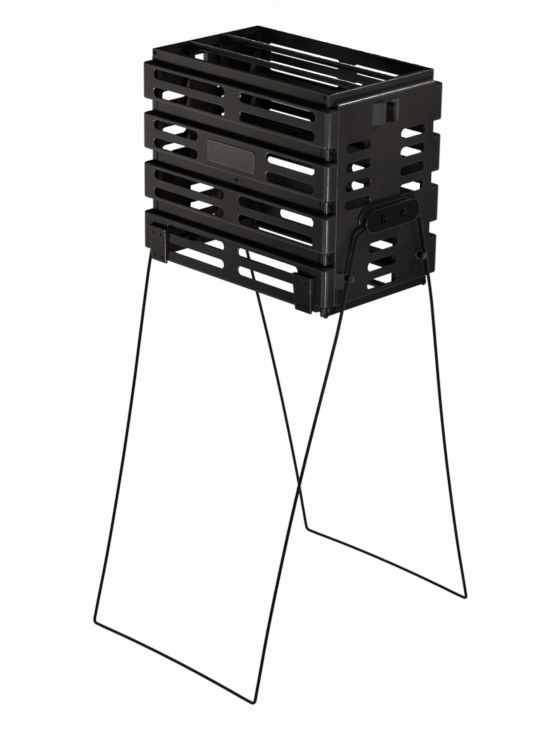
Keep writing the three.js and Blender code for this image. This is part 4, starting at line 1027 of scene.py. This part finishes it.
def pivot_plate(name):
    """The right plate, or turned half round the left one."""
    shape = shifted(stadium(BOSS_LENGTH, BOSS_WIDTH, PLATE_STEPS), 0, PIVOT_Z)
    face_x = PLATE_X + PLATE_THICKNESS
    bodies = [rounded_prism("x", shape, (PLATE_X, face_x), SMALL_ROUND / 2, PLATE_EDGE)]
    tools = []
    for side in (-1, 1):
        at = (side * PLATE_SCREW_OFFSET, PIVOT_Z)
        bodies.append(bar("x", PLATE_POST, (FACE + BOSS_PROUD + SEAM, PLATE_X + MELD), at, SOCKET_SIDES))
        levels = [(face_x - PLATE_RECESS_DEPTH, 0), (face_x - RECESS_FLARE, 0)]
        levels += [(face_x - RECESS_FLARE * math.cos(t), RECESS_FLARE * (1 - math.cos(t)))
                   for t in arc(LIP_STEPS)[1:]]
        levels.append((face_x + OVERRUN, RECESS_FLARE))
        tools.append(lofted("recess", [
            on_axis("x", x, ring_of(PLATE_RECESS - RECESS_FLARE + wider, *at, RECESS_SIDES))
            for x, wider in levels
        ]))
        tools.append(bar("x", HOLE, (FACE, face_x + OVERRUN), at))
    return machined(name, bodies, tools)


plate_gloss = (
    moulded("plate_gloss", PLATE_COLOUR, roughness=0.13, grain=0.05, specular=0.03),
    moulded("plate_gloss_rubbed", PLATE_COLOUR, roughness=0.12, grain=0.05, specular=0.5),
    # A rougher copy of the plate's finish with no reflection paints shade into the recess floors.
    moulded("plate_recess_painted_shade", PLATE_COLOUR, roughness=0.4, grain=0.05, specular=0.0),
)
for side, turn in ENDS:
    cover = turned(pivot_plate(f"{side}_pivot_cover"), turn)
    # Recess floors are marked below 0 for the finish that paints shade. Edges are marked 1, glossier and
    # painted paler, partly a painted highlight.
    wear_and_painted_light = cover.data.attributes.new("wear_and_painted_light", "FLOAT", "FACE")
    for face, mark in zip(cover.data.polygons, wear_and_painted_light.data):
        out, across, rise = abs(face.center.x), abs(face.center.y), face.center.z
        from_screw = math.hypot(across - PLATE_SCREW_OFFSET, rise - PIVOT_Z)
        if from_screw < PLATE_RECESS and PLATE_X < out < PLATE_X + PLATE_THICKNESS - RECESS_FLARE:
            mark.value = -1
        elif out > PLATE_X and abs(face.normal.x) < PLATE_FLAT and face.normal.z < PLATE_UPWARD:
            mark.value = 1
    finished(cover, plate_gloss, "basket", [f"{side}_pivot_plate"])

# Leg stops. Beside each lowered leg wire a glossy peg with a broad collar and a rounded head is
# pushed into the end panel. Each is turned from one piece of plastic.
COLLAR = 8.2 * MM
COLLAR_REACH = (0.3 * MM, 2.4 * MM)
PEG_SHANK = 3 * MM
PEG_BODY = 5.6 * MM
PEG_WAIST = 4.9 * MM
PEG_REACH = 13.5 * MM
PEG_DOME = 1.4 * MM
PEG_EDGE = 0.6 * MM
PEG_SIDES = 40
PEG_EDGE_STEPS = 4
PEG_CURVE_STEPS = 10
PEG_SHARES = (0.35, 0.5, 0.62, 0.68)
PEG_SHOULDER_SHARE = 1 / 3
DOME_START = 0.1
DOME_SINK_SHARE = 0.9
DOME_EDGE_SHARE = 0.1
DOME_CLOSE_SHARE = 0.96
PEG_COLOUR = (0.005, 0.0045, 0.0045)


def peg_profile():
    """Distances out from the panel face and radii, from the tip of the shank to the dome."""
    near, far = COLLAR_REACH
    neck = PEG_WAIST + PEG_EDGE
    slope = far - near - PEG_EDGE
    waist_start, waist_end, shoulder, full = (share * PEG_REACH for share in PEG_SHARES)
    profile = [(-PEG_SHANK_LENGTH, PEG_SHANK - PEG_EDGE), (PEG_EDGE - PEG_SHANK_LENGTH, PEG_SHANK),
               (near, PEG_SHANK)]
    profile += [(near + a, COLLAR - b) for a, b in rounding(PEG_EDGE, PEG_EDGE_STEPS)]
    profile += [(near + PEG_EDGE + slope * math.sin(t), neck + (COLLAR - neck) * math.cos(t))
                for t in arc(PEG_CURVE_STEPS)[1:-1]]
    profile += [(far, neck), (waist_start, PEG_WAIST), (waist_end, PEG_WAIST),
                (shoulder, PEG_BODY - PEG_EDGE * PEG_SHOULDER_SHARE), (full, PEG_BODY),
                (PEG_REACH - PEG_DOME - PEG_EDGE, PEG_BODY)]
    return profile + [
        (PEG_REACH - PEG_DOME * math.cos(t) ** 2 * DOME_SINK_SHARE - PEG_EDGE * DOME_EDGE_SHARE,
         PEG_BODY * math.cos(t * DOME_CLOSE_SHARE)) for t in arc(PEG_CURVE_STEPS, DOME_START)
    ]


def peg(name, across):
    """A peg of the right end at a place across it."""
    return lofted(name, [on_axis("x", FACE + out, ring_of(radius, across, PEG_Z, PEG_SIDES))
                         for out, radius in peg_profile()])


peg_gloss = [moulded("peg_gloss", PEG_COLOUR, roughness=0.1, grain=0.03, specular=0.26)] * 2
for side, turn in ENDS:
    for number, across in ((1, -PEG_OFFSET), (2, PEG_OFFSET)):
        finished(turned(peg(f"{side}_peg_{number}", across), turn), peg_gloss, "basket",
                 [f"{side}_leg_stop_{number}"])

# Badge. A thin plate of paler black plastic is bonded to the second band of the front. A narrow
# raised border runs round its bare face.
BADGE_LENGTH = 104 * MM
BADGE_HEIGHT = 34 * MM
BADGE_CORNER = 4 * MM
BADGE_CORNER_STEPS = 6
BADGE_FACE = 131.8 * MM
BADGE_BACK = 130.8 * MM
BADGE_HEIGHT_UP = 840.1 * MM
BADGE_BORDER = 1.5 * MM
BADGE_SINK = 0.25 * MM
BADGE_COLOUR = (0.0405, 0.0374, 0.0343)


def eased(shape, radius, steps):
    """An outline with each corner rounded."""
    made = []
    for i, here in enumerate(shape):
        here = Vector(here)
        u = (Vector(shape[i - 1]) - here).normalized()
        v = (Vector(shape[(i + 1) % len(shape)]) - here).normalized()
        half_angle = u.angle(v) / 2
        reach = radius / math.tan(half_angle)
        centre = here + (u + v).normalized() * (radius / math.sin(half_angle))
        start, end = here + u * reach, here + v * reach
        for k in range(steps + 1):
            along = (start - centre).lerp(end - centre, k / steps).normalized() * radius
            made.append(tuple(centre + along))
    return made


half_x, half_z = BADGE_LENGTH / 2, BADGE_HEIGHT / 2
outline = eased([(-half_x, -half_z), (half_x, -half_z), (half_x, half_z), (-half_x, half_z)],
                BADGE_CORNER, BADGE_CORNER_STEPS)
outline = shifted(outline, 0, BADGE_HEIGHT_UP)
plate = rounded_prism("y", outline, (-BADGE_FACE, -BADGE_BACK), SMALL_ROUND / 2, 0)
sunk = [(-BADGE_FACE - OVERRUN, 0), (-BADGE_FACE, 0), (-BADGE_FACE + BADGE_SINK, BADGE_SINK)]
field = lofted("field", [
    on_axis("y", y, set_in(outline, BADGE_BORDER + inward)) for y, inward in sunk
])
badge_plastic = (
    moulded("badge_plastic", BADGE_COLOUR, roughness=0.3, grain=0.3, specular=0.0),
    moulded("badge_plastic_rubbed", BADGE_COLOUR, roughness=0.3, grain=0.3, specular=0.2),
)
finished(machined("badge", [plate], [field]), badge_plastic, "basket",
         ["badge_plate"])

# Brackets. Two wedge shaped pockets low on the front, open at the top, of the basket's plastic.
# Four small screws go through holes in the face of each into its back wall and the band behind.
BRACKET_TOP_DEPTH = 287 * MM
BRACKET_FOOT_DEPTH = 346.5 * MM
BRACKET_PROUD = 8 * MM
BRACKET_FOOT_PROUD = 3.4 * MM
BRACKET_WIDTH = 41 * MM
BRACKET_FOOT_WIDTH = 34 * MM
BRACKET_BACK = 1.6 * MM
BRACKET_SKIN = 2 * MM
BRACKET_POCKET = 30 * MM
BRACKET_HOLE = 2.1 * MM
BRACKET_EDGE = 1.1 * MM
BRACKET_EDGE_STEPS = 4
BRACKET_LEVELS = 6
BRACKET_BORE_START = 149.5 * MM
BRACKET_HOLE_SIDES = 28
BRACKET_BORE_SIDES = 16
POCKET_ROUND = 0.6 * MM
POCKET_STEPS = 3


def bracket_section(share, inward=0.0):
    """Half width and front of the wedge, share 0 at its foot and 1 at its top."""
    width = BRACKET_FOOT_WIDTH + (BRACKET_WIDTH - BRACKET_FOOT_WIDTH) * share
    proud = BRACKET_FOOT_PROUD + (BRACKET_PROUD - BRACKET_FOOT_PROUD) * share
    return width / 2 - inward, -BADGE_BACK - proud + inward


def bracket_ring(share, rise, inward):
    """One level of the wedge, its two front edges rounded."""
    half_width, front = bracket_section(share, inward)
    corner = [(half_width - b, front + a) for a, b in rounding(BRACKET_EDGE, BRACKET_EDGE_STEPS)]
    edge = [(-x, y) for x, y in corner[::-1]] + corner
    return on_axis("z", rise, [(-half_width, -BADGE_BACK), *edge, (half_width, -BADGE_BACK)])


def bracket(name, middle):
    """A wedge hollowed from its top, with its holes, at a place along the basket."""
    foot_z, top_z = deep(BRACKET_TOP_DEPTH, BRACKET_FOOT_DEPTH)
    ends = rounding(SMALL_ROUND, LIP_STEPS)
    rings = [bracket_ring(0, foot_z + b, a) for a, b in ends][::-1]
    rings += [bracket_ring(i / BRACKET_LEVELS, foot_z + (top_z - foot_z) * i / BRACKET_LEVELS, 0)
              for i in range(1, BRACKET_LEVELS)]
    rings += [bracket_ring(1, top_z - b, a) for a, b in ends]
    wedge = lofted("wedge", rings)
    low_share = 1 - BRACKET_POCKET / (top_z - foot_z)
    back_y = -BADGE_BACK - BRACKET_BACK
    half_width = BRACKET_FOOT_WIDTH / 2 - BRACKET_SKIN
    pocket = []
    for share, rise in ((low_share, top_z - BRACKET_POCKET), (1, top_z), (1, top_z + OVERRUN)):
        front_y = bracket_section(share)[1] + BRACKET_SKIN
        shape = [(-half_width, front_y), (half_width, front_y),
                 (half_width, back_y), (-half_width, back_y)]
        pocket.append(on_axis("z", rise, eased(shape, POCKET_ROUND, POCKET_STEPS)))
    tools = [lofted("pocket", pocket)]
    for depth in BRACKET_HOLE_DEPTHS:
        for side in (-1, 1):
            at = (side * BRACKET_HOLE_SPREAD, RIM_HEIGHT - depth)
            for radius, end, sides in ((BRACKET_HOLE, back_y, BRACKET_HOLE_SIDES),
                                       (SMALL_HOLE, -HALF_WIDTH, BRACKET_BORE_SIDES)):
                tools.append(bar("y", radius, (-BRACKET_BORE_START, end), at, sides))
    piece = machined(name, [wedge], tools)
    piece.data.transform(Matrix.Translation((middle, 0, 0)))
    return piece


for side, middle in (("left", -BRACKET_MIDDLE), ("right", BRACKET_MIDDLE)):
    finished(bracket(f"{side}_pocket", middle), shell_plastic, "basket",
             [f"{side}_bracket"])

# Screws. Black zinc pan heads with a cross recess and a rolled thread: eight at each end, two in
# each rim and one in the middle of each long side, two in each plate, four small in each bracket.
HEAD = 3.2 * MM
HEAD_HEIGHT = 2.6 * MM
PLATE_HEAD_HEIGHT = 1.3 * MM
HEAD_FALL = 0.72
CROSS_REACH = 1.75 * MM
CROSS_WIDTH = 0.75 * MM
CROSS_DEPTH = 1.3 * MM
THREAD_PITCH = 1.2 * MM
THREAD_CUT = 0.22
THREAD_STEPS = 6
HEAD_SIDES = 40
HEAD_RINGS = 5
SHANK_SIDES = 16
SHANK_DROP = -2.02
MOST_TURN_INPUT = 3
CORNER_SCREW_X = 195.3 * MM
WALL_SCREW_Y = 119.8 * MM
PLATE_SCREW_X = 223.4 * MM
PLATE_SCREW_REACH = 22 * MM
BRACKET_SCREW_Y = 132.7 * MM
CORNER_SEED = 11
PLATE_SEED = 21
WALL_SEED = 31
BRACKET_SEED = 41
ZINC_COLOUR = (0.007, 0.007, 0.0075)
# A darker copy of the zinc colour for the heads sunk in the plates' recesses and the brackets' holes:
# painted shade.
PAINTED_SHADE_ZINC_COLOUR = (0.0024, 0.0024, 0.0026)
BLOTCHES = (260.0, 3.0, 0.6)
DRIVER_MARKS = (1400.0, 2.0, 0.5)
BLOTCH_TONES = (0.75, 1.3)
ZINC_POLISH = (0.16, 0.34)
MARK_STRENGTH = 0.2
MARK_DEPTH = 0.02 * MM


def screw_nodes():
    """Nodes that stand a screw on each point, along its facing, each turned by chance."""
    tree, given, result = node_group(
        "pan_head_screws", ("Places", "Geometry"), ("Head Radius", "Float"), ("Head Height", "Float"),
        ("Shank Radius", "Float"), ("Reach", "Float"), ("Thread Pitch", "Float"),
        ("Cross Reach", "Float"), ("Cross Width", "Float"), ("Cross Depth", "Float"),
        ("Turn Seed", "Int"), ("Finish", "Material"))

    def of(operation, *values):
        """A result of numbers and outputs."""
        return worked(tree, operation, *values)

    def moved(shape, **change):
        """A shape with its points at a new Position, or moved by an Offset, each in three values."""
        change = {key: made_by(tree, "ShaderNodeCombineXYZ", *xyz) for key, xyz in change.items()}
        return made_by(tree, "GeometryNodeSetPosition", shape, **change)

    here = tree.nodes.new("GeometryNodeInputPosition").outputs[0]
    x, y, z = node_of(tree, "ShaderNodeSeparateXYZ", here).outputs
    head = made_by(tree, "GeometryNodeMeshCylinder", Vertices=HEAD_SIDES, Fill_Segments=HEAD_RINGS,
                   Radius=given["Head Radius"], Depth=given["Head Height"])
    raised = moved(head, Offset=(0, 0, of("DIVIDE", given["Head Height"], 2)))
    radius = of("SQRT", of("ADD", of("MULTIPLY", x, x), of("MULTIPLY", y, y)))
    share = of("DIVIDE", radius, given["Head Radius"])
    drop = of("MULTIPLY", HEAD_FALL, of("MULTIPLY", share, share))
    fall = of("SQRT", of("SUBTRACT", 1, drop))
    domed = moved(raised, Position=(x, y, of("MULTIPLY", z, fall)))

    cut = node_of(tree, "GeometryNodeMeshBoolean", operation="DIFFERENCE", solver="MANIFOLD")
    tree.links.new(domed, cut.inputs["Mesh 1"])
    long_side = of("MULTIPLY", given["Cross Reach"], 2)
    deep_side = of("MULTIPLY", given["Cross Depth"], 2)
    for width, length in ((long_side, given["Cross Width"]), (given["Cross Width"], long_side)):
        size = made_by(tree, "ShaderNodeCombineXYZ", width, length, deep_side)
        blade = made_by(tree, "GeometryNodeMeshCube", size)
        tree.links.new(moved(blade, Offset=(0, 0, given["Head Height"])), cut.inputs["Mesh 2"])

    turns = of("DIVIDE", given["Reach"], given["Thread Pitch"])
    shank = made_by(tree, "GeometryNodeMeshCylinder", Vertices=SHANK_SIDES, Fill_Segments=1,
                    Side_Segments=of("CEIL", of("MULTIPLY", turns, THREAD_STEPS)),
                    Radius=given["Shank Radius"], Depth=given["Reach"])
    phase = of("ADD", of("ARCTAN2", y, x),
               of("MULTIPLY", of("DIVIDE", z, given["Thread Pitch"]), 2 * math.pi))
    groove = of("SUBTRACT", 1 - THREAD_CUT / 2, of("MULTIPLY", of("SINE", phase), THREAD_CUT / 2))
    threaded = moved(shank, Position=(of("MULTIPLY", x, groove), of("MULTIPLY", y, groove), z))
    lowered = moved(threaded, Offset=(0, 0, of("DIVIDE", given["Reach"], SHANK_DROP)))

    screw = tree.nodes.new("GeometryNodeJoinGeometry")
    tree.links.new(cut.outputs["Mesh"], screw.inputs[0])
    tree.links.new(lowered, screw.inputs[0])
    stood = made_by(tree, "FunctionNodeAlignRotationToVector", axis="Z",
                    Vector=mark_of(tree, "facing", "FLOAT_VECTOR"))
    chance = node_of(tree, "FunctionNodeRandomValue", data_type="FLOAT", Seed=given["Turn Seed"])
    chance.inputs[MOST_TURN_INPUT].default_value = 2 * math.pi
    spin = made_by(tree, "FunctionNodeAxisAngleToRotation", Angle=chance.outputs[1])
    facing_way = made_by(tree, "FunctionNodeRotateRotation", stood, spin, rotation_space="LOCAL")
    placed = made_by(tree, "GeometryNodeInstanceOnPoints", Points=given["Places"],
                     Instance=screw.outputs[0], Rotation=facing_way)
    real = made_by(tree, "GeometryNodeRealizeInstances", placed)
    plated = made_by(tree, "GeometryNodeSetMaterial", real, Material=given["Finish"])
    tree.links.new(plated, result)
    return tree


def screws(name, places, head_height, reach, scale, seed, nodes, finish):
    """places holds each underside of a head and the way that its head faces."""
    facings = [facing for _, facing in places]
    sizes = {
        "Head Radius": HEAD, "Head Height": head_height, "Shank Radius": SHANK, "Reach": reach,
        "Thread Pitch": THREAD_PITCH, "Cross Reach": CROSS_REACH, "Cross Width": CROSS_WIDTH,
        "Cross Depth": min(CROSS_DEPTH, head_height / 2),
    }
    sizes = {size: value * scale for size, value in sizes.items()}
    piece = grown(name, pan_head_screws, [p for p, _ in places], [],
                  {"facing": ("FLOAT_VECTOR", facings)}, {**sizes, "Turn Seed": seed, "Finish": finish})
    finished(piece, [finish] * 2, "basket", nodes)


def zinc(name, colour):
    """Black zinc on steel: blotchy depth of colour, and driver marks that dull the polish."""
    material, tree, shader = new_finish(name)
    shader.inputs["Metallic"].default_value = 1.0
    blotch, marks = noises(tree, BLOTCHES, DRIVER_MARKS)
    tinted(tree, shader, colour, ranged(tree, blotch, BLOTCH_TONES, MIDDLE_NOISE))
    tree.links.new(ranged(tree, marks, ZINC_POLISH), shader.inputs["Roughness"])
    bumped(tree, shader, marks, MARK_STRENGTH, MARK_DEPTH)
    return material


pan_head_screws = screw_nodes()
black_zinc = zinc("black_zinc", ZINC_COLOUR)
# The sunk heads take the darker copy of the zinc, which paints shade into them.
painted_shade_zinc = zinc("painted_shade_zinc", PAINTED_SHADE_ZINC_COLOUR)
for number, (side, way) in enumerate((("right", 1), ("left", -1))):
    places = [((way * CORNER_SCREW_X, y, RIM_HEIGHT - depth), (way, 0, 0))
              for depth in CORNER_SCREW_DEPTHS for y in (-CORNER_SCREW_Y, CORNER_SCREW_Y)]
    screws(f"{side}_corner_heads", places, HEAD_HEIGHT, SCREW_REACH, 1, CORNER_SEED + number,
           [f"{side}_corner_screw_{i + 1}" for i in range(len(places))], black_zinc)
    places = [((way * PLATE_SCREW_X, y, PIVOT_Z), (way, 0, 0))
              for y in (-PLATE_SCREW_OFFSET, PLATE_SCREW_OFFSET)]
    screws(f"{side}_plate_heads", places, PLATE_HEAD_HEIGHT, PLATE_SCREW_REACH, 1, PLATE_SEED + number,
           [f"{side}_plate_screw_{i + 1}" for i in range(len(places))], painted_shade_zinc)
for number, (side, way) in enumerate((("front", -1), ("back", 1))):
    places = [((x, way * WALL_SCREW_Y, RIM_SCREW_Z), (0, way, 0)) for x in (-RIM_SCREW_X, RIM_SCREW_X)]
    places.append(((0, way * WALL_SCREW_Y, MIDDLE_SCREW_Z), (0, way, 0)))
    screws(f"{side}_wall_heads", places, HEAD_HEIGHT, SCREW_REACH, 1, WALL_SEED + number,
           [f"{side}_rim_screw_left", f"{side}_rim_screw_right", f"{side}_middle_screw"], black_zinc)
places = [((x, -BRACKET_SCREW_Y, RIM_HEIGHT - depth), (0, -1, 0)) for x, depth in bracket_places]
screws("bracket_heads", places, HEAD_HEIGHT, SCREW_REACH, SMALL_SCREW_SHARE, BRACKET_SEED,
       [f"bracket_screw_{i + 1}" for i in range(len(places))], painted_shade_zinc)
